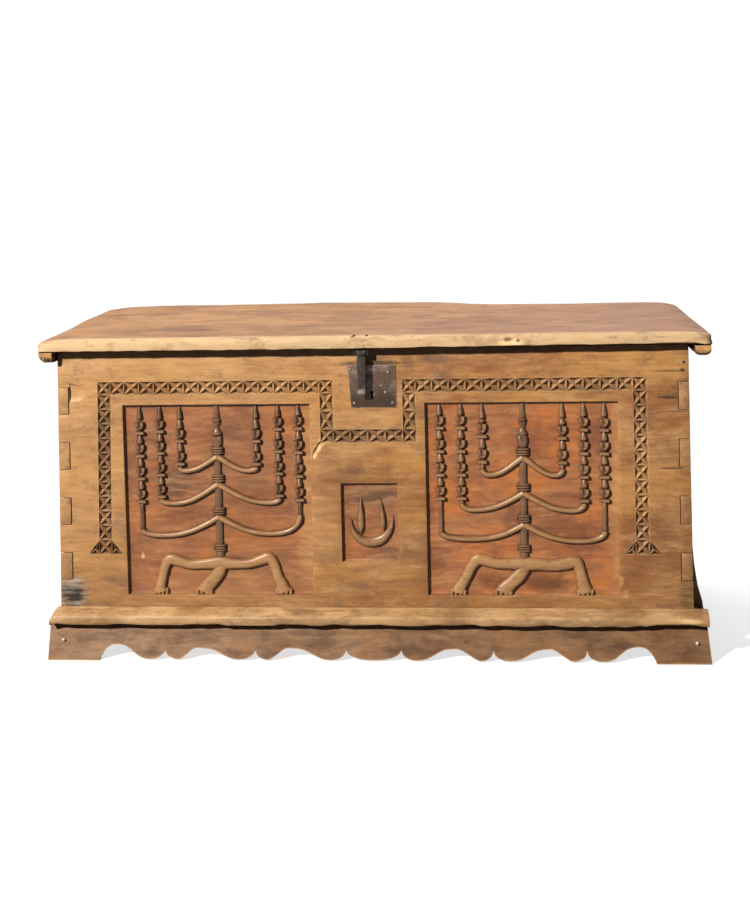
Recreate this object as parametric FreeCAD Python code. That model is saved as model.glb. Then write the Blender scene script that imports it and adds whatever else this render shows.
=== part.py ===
import FreeCAD, Part
import math
import os

# A boarded chest with dovetailed corners, two sunk panels that hold seven-branched
# candlesticks in relief, an iron lock with a hanging hasp, and a scalloped plinth.
# Millimetres. +Z is up, +X runs along the chest and the carved front looks along -Y.
# The origin is on the floor, under the middle of the closed chest.

# Carcass boards
carcass_width = 1142.0
carcass_depth = 504.0
wall_height = 515.0
front_thickness = 24.0
back_thickness = 22.0
end_thickness = 20.0

# Bottom planks, nailed under the walls
plank_thickness = 20.0
plank_underside = 30.0
plank_count = 3
plank_gap = 0.3

# Dovetails at the four corners
tail_count = 4
tail_height = 50.0
tail_pitch = 102.0
tail_taper = 6.0
lowest_tail = 93.0

# Lid with a cleat under each end; its board has risen along the back, most at the middle
lid_thickness = 25.0
lid_front_overhang = 26.0
lid_edge_round = 5.0
lid_flat_depth = 200.0
lid_back_rise = 13.0
lid_end_rise = 3.0
lid_front_corner = 16.0
lid_back_corner = 40.0
cleat_thickness = 31.0
cleat_height = 19.0
cleat_clearance = 3.0
cleat_setback = 6.0
cleat_back_setback = 45.0
cleat_nose_radius = 12.0

# Plinth and base moulding
plinth_height = 62.0
plinth_front_thickness = 12.0
plinth_end_thickness = 22.0
back_rail_thickness = 20.0
block_side = 50.0
moulding_height = 31.0
moulding_out = 24.0
moulding_nose = 15.0
moulding_undercut = 3.0

# Scalloped lower edge of the plinth, half of it, measured from the middle
scallop_foot = 502.0
scallop_arches = (471.0, 315.0, 148.0)
scallop_lobes = (410.0, 245.0, 78.0)
scallop_notches = (381.0, 215.0, 50.0)
scallop_small_lobes = (356.0, 192.0)
arch_rise = 27.0
notch_rise = 20.0
lobe_rise = 3.0

# Sunk panels on the front
panel_width = 343.0
panel_height = 350.0
panel_bottom = 115.0
panel_depth = 7.0
left_panel_x = -279.0
right_panel_x = 271.0
small_panel_width = 103.0
small_panel_height = 144.0
small_panel_bottom = 176.0
small_panel_x = -3.0

# Candlesticks: heights from the bottom of their panel
column_offsets = (71.0, 109.0, 146.0)
column_width = 18.0
column_top = 321.0
flame_height = 26.0
flame_width = 9.0
stem_width = 13.0
collar_width = 24.0
collar_height = 10.0
base_collar_height = 84.0
arm_thickness = 12.0
arm_dip_offsets = (60.0, 84.0, 103.0)
arm_end_rise = (11.0, 13.0, 13.0)
left_arm_roots = (254.0, 203.0, 143.0)
left_arm_dips = (229.0, 169.0, 110.0)
left_turning_period = 37.0
right_arm_roots = (249.0, 186.0, 130.0)
right_arm_dips = (218.0, 155.0, 101.0)
right_turning_period = 42.0

# Tripod foot of each candlestick
hub_height = 56.0
limb_thickness = 20.0
knee_offset = 96.0
knee_height = 65.0
foot_offset = 113.0
foot_width = 34.0
middle_leg_lean = 26.0
middle_leg_top_width = 34.0
middle_leg_foot_width = 44.0

# Crescent and two leaf spikes in the small panel, heights from its bottom
crescent_tip_offset = 38.0
crescent_tip_height = 80.0
crescent_bottom = 27.0
crescent_inner_bottom = 47.0
spike_offset = 19.0
spike_base = 54.0
spike_tip = 117.0
spike_width = 14.0

# Lock plate, its pocket in the front board, keyhole and hasp slot
lock_x = 6.0
lock_top_drop = 31.0
lock_width = 86.0
lock_height = 76.0
lock_thickness = 2.0
lock_left_slant = 5.0
pocket_margin_side = 13.0
pocket_margin_end = 14.0
pocket_depth = 13.0
keyhole_height = 15.0
keyhole_slot_width = 5.0
keyhole_radius = 4.0
keyhole_slot_length = 12.0

# Sliding bolt behind the plate
bolt_length = 38.0
bolt_height = 10.0
bolt_thickness = 4.0
bolt_clearance = 0.3
bolt_tip_gap = 2.5
keeper_width = 4.0
keeper_wall = 2.5
keeper_positions = (20.0, 32.0)

# Hasp hung from a staple under the front of the lid
hasp_x = -11.0
hasp_pivot_gap = 16.0
hasp_pivot_drop = 9.0
staple_wire_radius = 2.2
staple_half_width = 11.0
pivot_clearance = 0.05
eye_radius = 5.2
eye_width = 10.0
hasp_width = 16.0
hasp_thickness = 4.0
hasp_length = 64.0
curl_radius = 9.0
curl_angle = 55.0
loop_drop = 59.0
loop_width = 4.5
loop_height = 18.0
loop_wall = 1.6
loop_gap = 0.5
slot_clearance = 1.0
slot_height = 27.0
slot_rise = 2.5

# Two strap hinges at the back
hinge_x = 350.0
barrel_radius = 5.5
barrel_gap = 0.3
barrel_width = 36.0
middle_knuckle_width = 14.0
knuckle_gap = 0.2
hinge_pin_radius = 2.5
strap_thickness = 3.0
strap_length = 220.0
strap_tip_radius = 10.0
leaf_thickness = 3.0
leaf_height = 60.0


# Places that follow from the sizes
hinge_axis_offset = barrel_radius + barrel_gap
lid_depth = carcass_depth + lid_front_overhang
overall_depth = lid_depth + hinge_axis_offset + barrel_radius
lid_front = -overall_depth / 2
front_face = lid_front + lid_front_overhang
back_face = front_face + carcass_depth
front_inside = front_face + front_thickness
back_inside = back_face - back_thickness
end_face = carcass_width / 2
end_inside = end_face - end_thickness
wall_bottom = plank_underside + plank_thickness
wall_top = wall_bottom + wall_height
lid_top = wall_top + lid_thickness
cleat_inside = end_face + cleat_clearance
lid_end = cleat_inside + cleat_thickness
plinth_end = end_face + plinth_end_thickness
plinth_front_face = front_face - plinth_front_thickness
hinge_axis_y = back_face + hinge_axis_offset
hinge_axis_z = wall_top + strap_thickness - barrel_radius
lock_top = wall_top - lock_top_drop
lock_bottom = lock_top - lock_height
pivot_y = front_face - hasp_pivot_gap
pivot_z = wall_top - hasp_pivot_drop
loop_centre_z = pivot_z - loop_drop
bolt_centre_z = loop_centre_z + slot_rise


def vec(x, y, z):
    return FreeCAD.Vector(x, y, z)


def box(x0, x1, y0, y1, z0, z1):
    return Part.makeBox(x1 - x0, y1 - y0, z1 - z0, vec(x0, y0, z0))


def mirror_x(shape):
    return shape.mirror(vec(0, 0, 0), vec(1, 0, 0))


def line(a, b):
    return Part.LineSegment(a, b).toShape()


def arc(a, middle, b):
    return Part.Arc(a, middle, b).toShape()


def bezier(*poles):
    curve = Part.BezierCurve()
    curve.setPoles(list(poles))
    return curve.toShape()


def solid_from(edges, direction):
    wire = Part.Wire(Part.__sortEdges__(edges))
    return Part.Face(wire).extrude(direction)


def polygon(points, direction):
    wire = Part.makePolygon(points + [points[0]])
    return Part.Face(wire).extrude(direction)


def relief(points):
    """A raised flat shape in a panel: its outline in X and Z, standing from the ground to the front face."""
    return polygon([vec(x, front_face, z) for x, z in points], vec(0, panel_depth, 0))


def join(shapes):
    return shapes[0].multiFuse(shapes[1:]).removeSplitter()


def write(name, shape):
    solids = shape.Solids
    if len(solids) != 1 or not shape.isValid():
        raise ValueError(name + " is not one valid solid")
    solids[0].exportStep("parts/" + name + ".step")


# Carcass

def dovetail(root_y, tip_y, height):
    half_tip = tail_height / 2
    half_root = half_tip - tail_taper
    outline = [
        vec(end_inside, root_y, height - half_root),
        vec(end_inside, tip_y, height - half_tip),
        vec(end_inside, tip_y, height + half_tip),
        vec(end_inside, root_y, height + half_root),
    ]
    return polygon(outline, vec(end_thickness, 0, 0))


def end_board():
    pieces = [box(end_inside, end_face, front_inside, back_inside, wall_bottom, wall_top)]
    for index in range(tail_count):
        height = wall_bottom + lowest_tail + tail_height / 2 + index * tail_pitch
        pieces.append(dovetail(front_inside, front_face, height))
        pieces.append(dovetail(back_inside, back_face, height))
    return join(pieces)


def rounded_band(centre_x, centre_z, radius, start, end):
    """A ring segment of the arms' thickness, between two angles in degrees."""
    def point(r, angle):
        a = math.radians(angle)
        return vec(centre_x + r * math.cos(a), front_face, centre_z + r * math.sin(a))
    outer = radius + arm_thickness / 2
    inner = radius - arm_thickness / 2
    middle = (start + end) / 2
    edges = [
        arc(point(outer, start), point(outer, middle), point(outer, end)),
        line(point(outer, end), point(inner, end)),
        arc(point(inner, end), point(inner, middle), point(inner, start)),
        line(point(inner, start), point(outer, start)),
    ]
    return solid_from(edges, vec(0, panel_depth, 0))


def arm(root, dip, dip_offset, end_offset, end_rise):
    """One arm on the +X side of a stem at X = 0: it falls from its root to a dip, then turns up to its column."""
    fall = root - dip
    fall_radius = (dip_offset ** 2 + fall ** 2) / (2 * fall)
    run = end_offset - dip_offset
    rise_radius = (run ** 2 + end_rise ** 2) / (2 * end_rise)
    start = -90 - math.degrees(math.asin(min(1.0, dip_offset / fall_radius)))
    if fall > dip_offset:
        start = -180 - (start + 180)
    end = -90 + math.degrees(math.asin(min(1.0, run / rise_radius)))
    falling = rounded_band(dip_offset, dip + fall_radius, fall_radius, start, -90)
    rising = rounded_band(dip_offset, dip + rise_radius, rise_radius, -90, end)
    return [falling, rising]


def turned_column(centre, foot, period):
    """Outline of a candle column: cups and spools repeat down from its top, over a plain shaft."""
    wide = column_width / 2
    neck = column_width / 4
    unit = ((0.0, wide), (0.42, neck + 1), (0.5, wide - 1), (0.75, neck), (0.97, wide - 1))
    count = max(1, int((column_top - foot) / period))
    side = [(flame_width / 2, column_top), (wide, column_top)]
    for index in range(count):
        top = column_top - index * period
        side += [(half, top - share * period) for share, half in unit if index + share > 0]
    side += [(neck, column_top - count * period), (neck, foot)]
    outline = [(centre + half, z) for half, z in side]
    outline += [(centre - half, z) for half, z in reversed(side)]
    return outline + [(centre, column_top + flame_height)]


def tapered_bar(start, end, start_width, end_width):
    (x0, z0), (x1, z1) = start, end
    length = math.hypot(x1 - x0, z1 - z0)
    nx, nz = (z1 - z0) / length / 2, -(x1 - x0) / length / 2
    return [
        (x0 + nx * start_width, z0 + nz * start_width),
        (x1 + nx * end_width, z1 + nz * end_width),
        (x1 - nx * end_width, z1 - nz * end_width),
        (x0 - nx * start_width, z0 - nz * start_width),
    ]


def tripod():
    """Three legs under the stem: two with knees, and a middle one that leans to the left."""
    leg_top = hub_height - limb_thickness / 4
    outlines = [tapered_bar((middle_leg_lean / 5, leg_top), (-middle_leg_lean, 0),
                            middle_leg_top_width, middle_leg_foot_width)]
    for side in (-1, 1):
        knee = (side * knee_offset, knee_height)
        outlines.append(tapered_bar((0, hub_height), knee, limb_thickness, limb_thickness))
        outlines.append(tapered_bar(knee, (side * foot_offset, 0), limb_thickness, foot_width))
    shapes = [relief(outline) for outline in outlines]
    for side in (-1, 1):
        centre = vec(side * knee_offset, front_face, knee_height)
        shapes.append(Part.makeCylinder(limb_thickness / 2, panel_depth, centre, vec(0, 1, 0)))
    return shapes


def candlestick(roots, dips, period):
    """Seven-branched candlestick at X = 0, with Z = 0 at the bottom of its panel."""
    half_stem = stem_width / 2
    half_collar = collar_width / 2
    shapes = [relief([(-half_stem, hub_height), (half_stem, hub_height), (half_stem, column_top),
                      (0, column_top + flame_height), (-half_stem, column_top)])]
    for height in [root + collar_height for root in roots] + [base_collar_height]:
        shapes.append(relief([(-half_collar, height), (half_collar, height),
                              (half_collar, height + collar_height), (-half_collar, height + collar_height)]))
    for root, dip, dip_offset, offset, rise in zip(roots, dips, arm_dip_offsets, column_offsets, arm_end_rise):
        arms = arm(root, dip, dip_offset, offset, rise)
        column = [relief(turned_column(offset, dip + rise, period))]
        shapes += arms + column
        shapes += [mirror_x(shape) for shape in arms + column]
    return shapes + tripod()


def moved(shapes, x, z):
    for shape in shapes:
        shape.translate(vec(x, 0, z))
    return shapes


def crescent():
    tip, height = crescent_tip_offset, crescent_tip_height
    left, right = vec(-tip, front_face, height), vec(tip, front_face, height)
    edges = [arc(left, vec(0, front_face, crescent_bottom), right),
             arc(right, vec(0, front_face, crescent_inner_bottom), left)]
    return solid_from(edges, vec(0, panel_depth, 0))


def leaf_spike(x):
    middle = (spike_base + spike_tip) / 2
    top, bottom = vec(x, front_face, spike_tip), vec(x, front_face, spike_base)
    edges = [arc(top, vec(x + spike_width / 2, front_face, middle), bottom),
             arc(bottom, vec(x - spike_width / 2, front_face, middle), top)]
    return solid_from(edges, vec(0, panel_depth, 0))


def panel_pocket(x, width, bottom, height, figures):
    pocket = box(x - width / 2, x + width / 2, front_face, front_face + panel_depth, bottom, bottom + height)
    return pocket.cut(moved(figures, x, bottom))


def lock_pocket():
    return box(lock_x - lock_width / 2 + pocket_margin_side, lock_x + lock_width / 2 - pocket_margin_side,
               front_face, front_face + pocket_depth,
               lock_bottom + pocket_margin_end, lock_top - pocket_margin_end)


def front_board(ends):
    board = box(-end_face, end_face, front_face, front_inside, wall_bottom, wall_top)
    left_stick = candlestick(left_arm_roots, left_arm_dips, left_turning_period)
    right_stick = candlestick(right_arm_roots, right_arm_dips, right_turning_period)
    motif = [crescent(), leaf_spike(-spike_offset), leaf_spike(spike_offset)]
    pockets = [
        panel_pocket(left_panel_x, panel_width, panel_bottom, panel_height, left_stick),
        panel_pocket(right_panel_x, panel_width, panel_bottom, panel_height, right_stick),
        panel_pocket(small_panel_x, small_panel_width, small_panel_bottom, small_panel_height, motif),
        lock_pocket(),
    ]
    return board.cut(ends + pockets)


def back_board(ends):
    return box(-end_face, end_face, back_inside, back_face, wall_bottom, wall_top).cut(ends)


def bottom_plank(index):
    width = (carcass_depth - (plank_count - 1) * plank_gap) / plank_count
    near = front_face + index * (width + plank_gap)
    return box(-end_face, end_face, near, near + width, plank_underside, wall_bottom)


# Base

def scallop_half():
    """Lower edge of the plinth from the foot on the +X side to the middle."""
    def at(x, z):
        return vec(x, plinth_front_face, z)

    def swing(x0, z0, x1, z1, ease):
        return bezier(at(x0, z0), at(x0 + (x1 - x0) * ease, z0), at(x1 - (x1 - x0) * ease, z1), at(x1, z1))

    def flank(foot, arch):
        return bezier(at(foot, lobe_rise), at(0.7 * foot + 0.3 * arch, 0.75 * arch_rise),
                      at((foot + arch) / 2, arch_rise), at(arch, arch_rise))

    def cusp(lobe, notch):
        return bezier(at(lobe, lobe_rise), at((lobe + 2 * notch) / 3, lobe_rise),
                      at(notch, (lobe_rise + notch_rise) / 2), at(notch, notch_rise))

    edges = [line(at(scallop_foot, 0), at(scallop_foot, lobe_rise))]
    starts = (scallop_foot,) + scallop_small_lobes
    ends = scallop_small_lobes + (0.0,)
    for start, arch, lobe, notch, end in zip(starts, scallop_arches, scallop_lobes, scallop_notches, ends):
        steep = start == scallop_foot
        edges.append(flank(start, arch) if steep else swing(start, lobe_rise, arch, arch_rise, 0.25))
        edges.append(swing(arch, arch_rise, lobe, lobe_rise, 0.5))
        edges.append(cusp(lobe, notch))
        edges.append(cusp(end, notch))
    return edges


def plinth_front():
    half = scallop_half()
    corners = [vec(plinth_end, plinth_front_face, z) for z in (0, plinth_height)]
    opposite = [vec(-plinth_end, plinth_front_face, z) for z in (0, plinth_height)]
    foot = vec(scallop_foot, plinth_front_face, 0)
    other_foot = vec(-scallop_foot, plinth_front_face, 0)
    edges = half + [mirror_x(edge) for edge in half]
    edges += [line(foot, corners[0]), line(corners[0], corners[1]), line(corners[1], opposite[1]),
              line(opposite[1], opposite[0]), line(opposite[0], other_foot)]
    return solid_from(edges, vec(0, plinth_front_thickness, 0))


def plinth_end_board():
    return box(end_face, plinth_end, front_face, back_face, 0, plinth_height)


def plinth_back():
    return box(-end_face, end_face, back_face - back_rail_thickness, back_face, 0, plank_underside)


def plinth_block(rear):
    if rear:
        far = back_face - back_rail_thickness
        return box(end_face - block_side, end_face, far - block_side, far, 0, plank_underside)
    return box(end_face - block_side, end_face, front_face, front_face + block_side, 0, plank_underside)


def moulding_profile(point):
    """Half-round bar, fuller above its nose than below; point(out, z) places it on a wall."""
    top = plinth_height + moulding_height
    nose = plinth_height + moulding_nose
    foot = moulding_out - moulding_undercut
    shoulder = bezier(point(0, top), point(moulding_out / 2, top - moulding_height / 5),
                      point(moulding_out, (top + nose) / 2), point(moulding_out, nose))
    belly = bezier(point(moulding_out, nose), point(moulding_out, (plinth_height + nose) / 2),
                   point(foot + moulding_undercut / 2, plinth_height), point(foot, plinth_height))
    return [line(point(0, plinth_height), point(0, top)), shoulder, belly,
            line(point(foot, plinth_height), point(0, plinth_height))]


def moulding_front():
    """Runs past both ends of the chest and covers the end mouldings."""
    reach = end_face + moulding_out
    return solid_from(moulding_profile(lambda out, z: vec(-reach, front_face - out, z)), vec(2 * reach, 0, 0))


def moulding_end():
    profile = moulding_profile(lambda out, z: vec(end_face + out, front_face, z))
    return solid_from(profile, vec(0, back_face - front_face, 0))


# Lock

def lock_plate():
    left, right = lock_x - lock_width / 2, lock_x + lock_width / 2
    face = front_face - lock_thickness
    outline = [vec(left + lock_left_slant, face, lock_bottom), vec(right, face, lock_bottom),
               vec(right, face, lock_top), vec(left, face, lock_top)]
    plate = polygon(outline, vec(0, lock_thickness, 0))
    half_slot = loop_width / 2 + slot_clearance
    slot = box(hasp_x - half_slot, hasp_x + half_slot, face, front_face,
               bolt_centre_z - slot_height / 2, bolt_centre_z + slot_height / 2)
    base = lock_bottom + keyhole_height
    half_key = keyhole_slot_width / 2
    stem = box(lock_x - half_key, lock_x + half_key, face, front_face, base, base + keyhole_slot_length)
    top = Part.makeCylinder(keyhole_radius, lock_thickness, vec(lock_x, face, base + keyhole_slot_length),
                            vec(0, 1, 0))
    return plate.cut([slot, stem.fuse(top).removeSplitter()])


def bolt_box(grow, start, end):
    """The bolt's section, grown by a clearance, between two X places."""
    return box(start, end, front_face + bolt_clearance - grow, front_face + bolt_clearance + bolt_thickness + grow,
               bolt_centre_z - bolt_height / 2 - grow, bolt_centre_z + bolt_height / 2 + grow)


def lock_bolt():
    tip = hasp_x + loop_width / 2 + bolt_tip_gap
    return bolt_box(0, tip, tip + bolt_length)


def bolt_keeper(position):
    start, end = hasp_x + position, hasp_x + position + keeper_width
    channel = bolt_box(bolt_clearance, start, end)
    half = bolt_height / 2 + bolt_clearance + keeper_wall
    back = front_face + bolt_thickness + 2 * bolt_clearance + keeper_wall
    return box(start, end, front_face, back, bolt_centre_z - half, bolt_centre_z + half).cut(channel)


# Hasp

def hasp_bar():
    """Flat bar below the eye, whose lower end curls out to be lifted by a finger."""
    half = hasp_thickness / 2
    end_z = pivot_z - hasp_length
    turn = math.radians(curl_angle)
    centre_y = pivot_y - curl_radius

    def on(y, z):
        return vec(hasp_x - hasp_width / 2, y, z)

    def curl(radius, angle):
        return on(centre_y + radius * math.cos(angle), end_z - radius * math.sin(angle))

    outer, inner = curl_radius + half, curl_radius - half
    edges = [
        line(on(pivot_y + half, pivot_z), on(pivot_y + half, end_z)),
        arc(curl(outer, 0), curl(outer, turn / 2), curl(outer, turn)),
        line(curl(outer, turn), curl(inner, turn)),
        arc(curl(inner, turn), curl(inner, turn / 2), curl(inner, 0)),
        line(on(pivot_y - half, end_z), on(pivot_y - half, pivot_z)),
        line(on(pivot_y - half, pivot_z), on(pivot_y + half, pivot_z)),
    ]
    bar = solid_from(edges, vec(hasp_width, 0, 0))
    shoulder = pivot_z - eye_radius
    side = (hasp_width - eye_width) / 2
    for start in (hasp_x - hasp_width / 2, hasp_x + eye_width / 2):
        bar = bar.cut(box(start, start + side, pivot_y - eye_radius, pivot_y + eye_radius, shoulder, pivot_z))
    return bar


def hasp_loop():
    """Flat loop behind the bar, which the bolt passes through."""
    back = front_face - lock_thickness - loop_gap
    near = pivot_y + hasp_thickness / 2
    start = hasp_x - loop_width / 2
    half = loop_height / 2
    loop = box(start, start + loop_width, near, back, loop_centre_z - half, loop_centre_z + half)
    hole = box(start, start + loop_width, near, back - loop_wall,
               loop_centre_z - half + loop_wall, loop_centre_z + half - loop_wall)
    return loop.cut(hole)


def hasp():
    eye_start = vec(hasp_x - eye_width / 2, pivot_y, pivot_z)
    eye = Part.makeCylinder(eye_radius, eye_width, eye_start, vec(1, 0, 0))
    bore = Part.makeCylinder(staple_wire_radius + pivot_clearance, eye_width, eye_start, vec(1, 0, 0))
    return join([hasp_bar(), eye, hasp_loop()]).cut(bore)


def hasp_staple():
    """Forged staple: a round bar carries the hasp's eye, and two square prongs are driven through the lid."""
    prong = 2 * staple_wire_radius
    shapes = []
    for side in (-1, 1):
        x = hasp_x + side * staple_half_width
        shapes.append(box(x - prong / 2, x + prong / 2, pivot_y - prong / 2, pivot_y + prong / 2,
                          pivot_z - prong / 2, lid_top))
    bar_start = vec(hasp_x - staple_half_width, pivot_y, pivot_z)
    shapes.append(Part.makeCylinder(staple_wire_radius, 2 * staple_half_width, bar_start, vec(1, 0, 0)))
    return join(shapes)


# Hinges

def knuckle(start, width):
    return Part.makeCylinder(barrel_radius, width, vec(start, hinge_axis_y, hinge_axis_z), vec(1, 0, 0))


def pin_hole(clearance):
    begin = vec(hinge_x - barrel_width / 2, hinge_axis_y, hinge_axis_z)
    return Part.makeCylinder(hinge_pin_radius + clearance, barrel_width, begin, vec(1, 0, 0))


def hinge_leaf():
    """Leaf on the outside of the back board, with the two outer knuckles."""
    start, end = hinge_x - barrel_width / 2, hinge_x + barrel_width / 2
    side = (barrel_width - middle_knuckle_width) / 2 - knuckle_gap
    leaf = box(start, end, back_face, back_face + leaf_thickness, hinge_axis_z - leaf_height, hinge_axis_z)
    notch = box(start + side, end - side, back_face, back_face + leaf_thickness,
                hinge_axis_z - barrel_radius - barrel_gap, hinge_axis_z)
    shapes = [leaf.cut(notch), knuckle(start, side), knuckle(end - side, side)]
    return join(shapes).cut(pin_hole(pivot_clearance))


def hinge_strap():
    """Strap let into the underside of the lid, with the middle knuckle."""
    half = barrel_width / 2
    tip_y = back_face - strap_length
    tail = tip_y + strap_tip_radius
    level = wall_top
    nose = strap_tip_radius
    edges = [
        line(vec(hinge_x + half, back_face, level), vec(hinge_x + nose, tail, level)),
        arc(vec(hinge_x + nose, tail, level), vec(hinge_x, tip_y, level), vec(hinge_x - nose, tail, level)),
        line(vec(hinge_x - nose, tail, level), vec(hinge_x - half, back_face, level)),
        line(vec(hinge_x - half, back_face, level), vec(hinge_x + half, back_face, level)),
    ]
    strap = solid_from(edges, vec(0, 0, strap_thickness))
    start = hinge_x - middle_knuckle_width / 2
    tongue = box(start, start + middle_knuckle_width, back_face, hinge_axis_y, level, level + strap_thickness)
    return join([strap, tongue, knuckle(start, middle_knuckle_width)]).cut(pin_hole(pivot_clearance))


# Lid

def lid_profile():
    """Side view of the lid, level in front and rising to the back edge."""
    across = [(lid_front, wall_top), (back_face, wall_top), (back_face, lid_top + lid_back_rise),
              (lid_front + lid_flat_depth, lid_top), (lid_front, lid_top)]
    board = polygon([vec(-lid_end, y, z) for y, z in across], vec(2 * lid_end, 0, 0))
    arris = [edge for edge in board.Edges
             if edge.BoundBox.ZMin > lid_top - 1 and edge.BoundBox.YMax < lid_front + 1]
    return board.makeFillet(lid_edge_round, arris)


def lid_crown():
    """Front view of the lid, bowed up along its back edge."""
    low = vec(-lid_end, lid_front, wall_top)
    left = vec(-lid_end, lid_front, lid_top + lid_end_rise)
    middle = vec(0, lid_front, lid_top + lid_back_rise)
    right = vec(lid_end, lid_front, lid_top + lid_end_rise)
    far = vec(lid_end, lid_front, wall_top)
    edges = [line(low, left), arc(left, middle, right), line(right, far), line(far, low)]
    return solid_from(edges, vec(0, lid_depth, 0))


def lid_plan():
    """Top view of the lid with its corners rounded by wear."""
    slab = box(-lid_end, lid_end, lid_front, back_face, wall_top, lid_top + lid_back_rise)
    front = [edge for edge in slab.Edges
             if edge.BoundBox.ZLength > lid_thickness and edge.BoundBox.YMax < lid_front + 1]
    slab = slab.makeFillet(lid_front_corner, front)
    back = [edge for edge in slab.Edges
            if edge.BoundBox.ZLength > lid_thickness and edge.BoundBox.YMin > back_face - 1]
    return slab.makeFillet(lid_back_corner, back)


def lid_board(straps, staple):
    board = lid_profile().common(lid_crown()).common(lid_plan())
    return board.cut(straps + [staple]).removeSplitter()


def lid_cleat():
    """Batten under the end of the lid, rounded below at its front."""
    near = lid_front + cleat_setback
    bottom = wall_top - cleat_height
    batten = box(cleat_inside, lid_end, near, back_face - cleat_back_setback, bottom, wall_top)
    nose = [edge for edge in batten.Edges if edge.BoundBox.YMax < near + 1 and edge.BoundBox.ZMax < bottom + 1]
    return batten.makeFillet(cleat_nose_radius, nose)


def main():
    os.makedirs("parts", exist_ok=True)
    right_end = end_board()
    left_end = mirror_x(right_end)
    write("end_board_right", right_end)
    write("end_board_left", left_end)
    write("front_board", front_board([left_end, right_end]))
    write("back_board", back_board([left_end, right_end]))
    for index in range(plank_count):
        write("bottom_plank_" + str(index + 1), bottom_plank(index))

    write("plinth_front", plinth_front())
    write("plinth_back", plinth_back())
    write("moulding_front", moulding_front())
    pairs = {
        "plinth_end": plinth_end_board(),
        "plinth_block_front": plinth_block(False),
        "plinth_block_rear": plinth_block(True),
        "moulding_end": moulding_end(),
        "lid_cleat": lid_cleat(),
        "hinge_leaf": hinge_leaf(),
        "hinge_strap": hinge_strap(),
        "hinge_pin": pin_hole(0),
    }
    for name, shape in pairs.items():
        write(name + "_right", shape)
        write(name + "_left", mirror_x(shape))

    write("lock_plate", lock_plate())
    write("lock_bolt", lock_bolt())
    for side, position in zip(("near", "far"), keeper_positions):
        write("bolt_keeper_" + side, bolt_keeper(position))
    write("hasp", hasp())
    staple = hasp_staple()
    write("hasp_staple", staple)
    straps = [pairs["hinge_strap"], mirror_x(pairs["hinge_strap"])]
    write("lid_board", lid_board(straps, staple))


main()
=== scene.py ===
import math

import bmesh
import bpy
from mathutils import Matrix, Vector, noise
from mathutils.geometry import interpolate_bezier


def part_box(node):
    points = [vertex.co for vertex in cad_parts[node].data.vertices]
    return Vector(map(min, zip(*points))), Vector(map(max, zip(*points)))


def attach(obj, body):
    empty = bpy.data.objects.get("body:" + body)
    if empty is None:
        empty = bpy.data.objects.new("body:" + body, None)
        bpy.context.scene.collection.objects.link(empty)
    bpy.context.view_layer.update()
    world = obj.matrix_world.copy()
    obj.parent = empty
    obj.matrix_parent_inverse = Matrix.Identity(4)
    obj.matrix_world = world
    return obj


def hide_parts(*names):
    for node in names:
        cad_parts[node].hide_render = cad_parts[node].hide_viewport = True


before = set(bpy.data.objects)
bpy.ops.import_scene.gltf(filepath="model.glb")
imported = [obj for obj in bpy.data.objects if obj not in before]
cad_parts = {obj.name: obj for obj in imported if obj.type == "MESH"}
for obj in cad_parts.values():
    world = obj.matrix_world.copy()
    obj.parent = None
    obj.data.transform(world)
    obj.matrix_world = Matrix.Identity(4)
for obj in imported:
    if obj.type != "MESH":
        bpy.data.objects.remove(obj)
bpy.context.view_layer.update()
mm = 0.001
hair = 0.001 * mm  # nearer than this, a cut takes the corner that is there


# small helpers

def linear(hexCode):
    channels = [int(hexCode[i:i + 2], 16) / 255 for i in (1, 3, 5)]
    return [c / 12.92 if c <= 0.04045 else ((c + 0.055) / 1.055) ** 2.4 for c in channels] + [1.0]


def addNode(tree, kind, settings=None, links=None):
    node = tree.nodes.new(kind)
    for key, value in (settings or {}).items():
        if isinstance(key, str) and hasattr(node, key):
            setattr(node, key, value)
        else:
            node.inputs[key].default_value = value
    for key, source in (links or {}).items():
        tree.links.new(source, node.inputs[key])
    return node


def block(low, high):
    bm = bmesh.new()
    low, high = Vector(low), Vector(high)
    place = Matrix.Translation((low + high) / 2) @ Matrix.Diagonal((*(high - low), 1.0))
    bmesh.ops.create_cube(bm, size=1.0, matrix=place)
    bm.normal_update()
    return bm


def drawOut(bm, faces, move):
    # extrudes a patch of faces and takes the old patch away
    made = bmesh.ops.extrude_face_region(bm, geom=faces)["geom"]
    bmesh.ops.delete(bm, geom=faces, context="FACES_ONLY")
    bmesh.ops.translate(bm, verts=[g for g in made if isinstance(g, bmesh.types.BMVert)], vec=move)
    bm.normal_update()


def nodeCopy(node):
    bm = bmesh.new()
    bm.from_mesh(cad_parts[node].data)
    bmesh.ops.remove_doubles(bm, verts=bm.verts, dist=0.01 * mm)
    bmesh.ops.dissolve_limit(bm, angle_limit=math.radians(1), verts=bm.verts, edges=bm.edges)
    return bm


def withEdges(faces):
    return list({part for face in faces for part in (face, *face.edges, *face.verts)})


def cutAt(bm, axis, places, faces=None):
    normal = Vector([float(i == axis) for i in range(3)])
    for place in places:
        chosen = faces(bm) if faces else bm.faces
        bmesh.ops.bisect_plane(bm, geom=withEdges(chosen), dist=hair, plane_co=normal * place,
                               plane_no=normal)


def softenEdges(bm, width, segments=2, sharper=25, where=None):
    bm.normal_update()
    edges = [e for e in bm.edges if e.is_manifold and e.calc_face_angle(0) > math.radians(sharper)]
    edges = [e for e in edges if where is None or where(e)]
    bmesh.ops.bevel(bm, geom=edges, offset=width, offset_type="OFFSET", segments=segments,
                    profile=0.5, affect="EDGES", material=-1, clamp_overlap=True)


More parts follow.
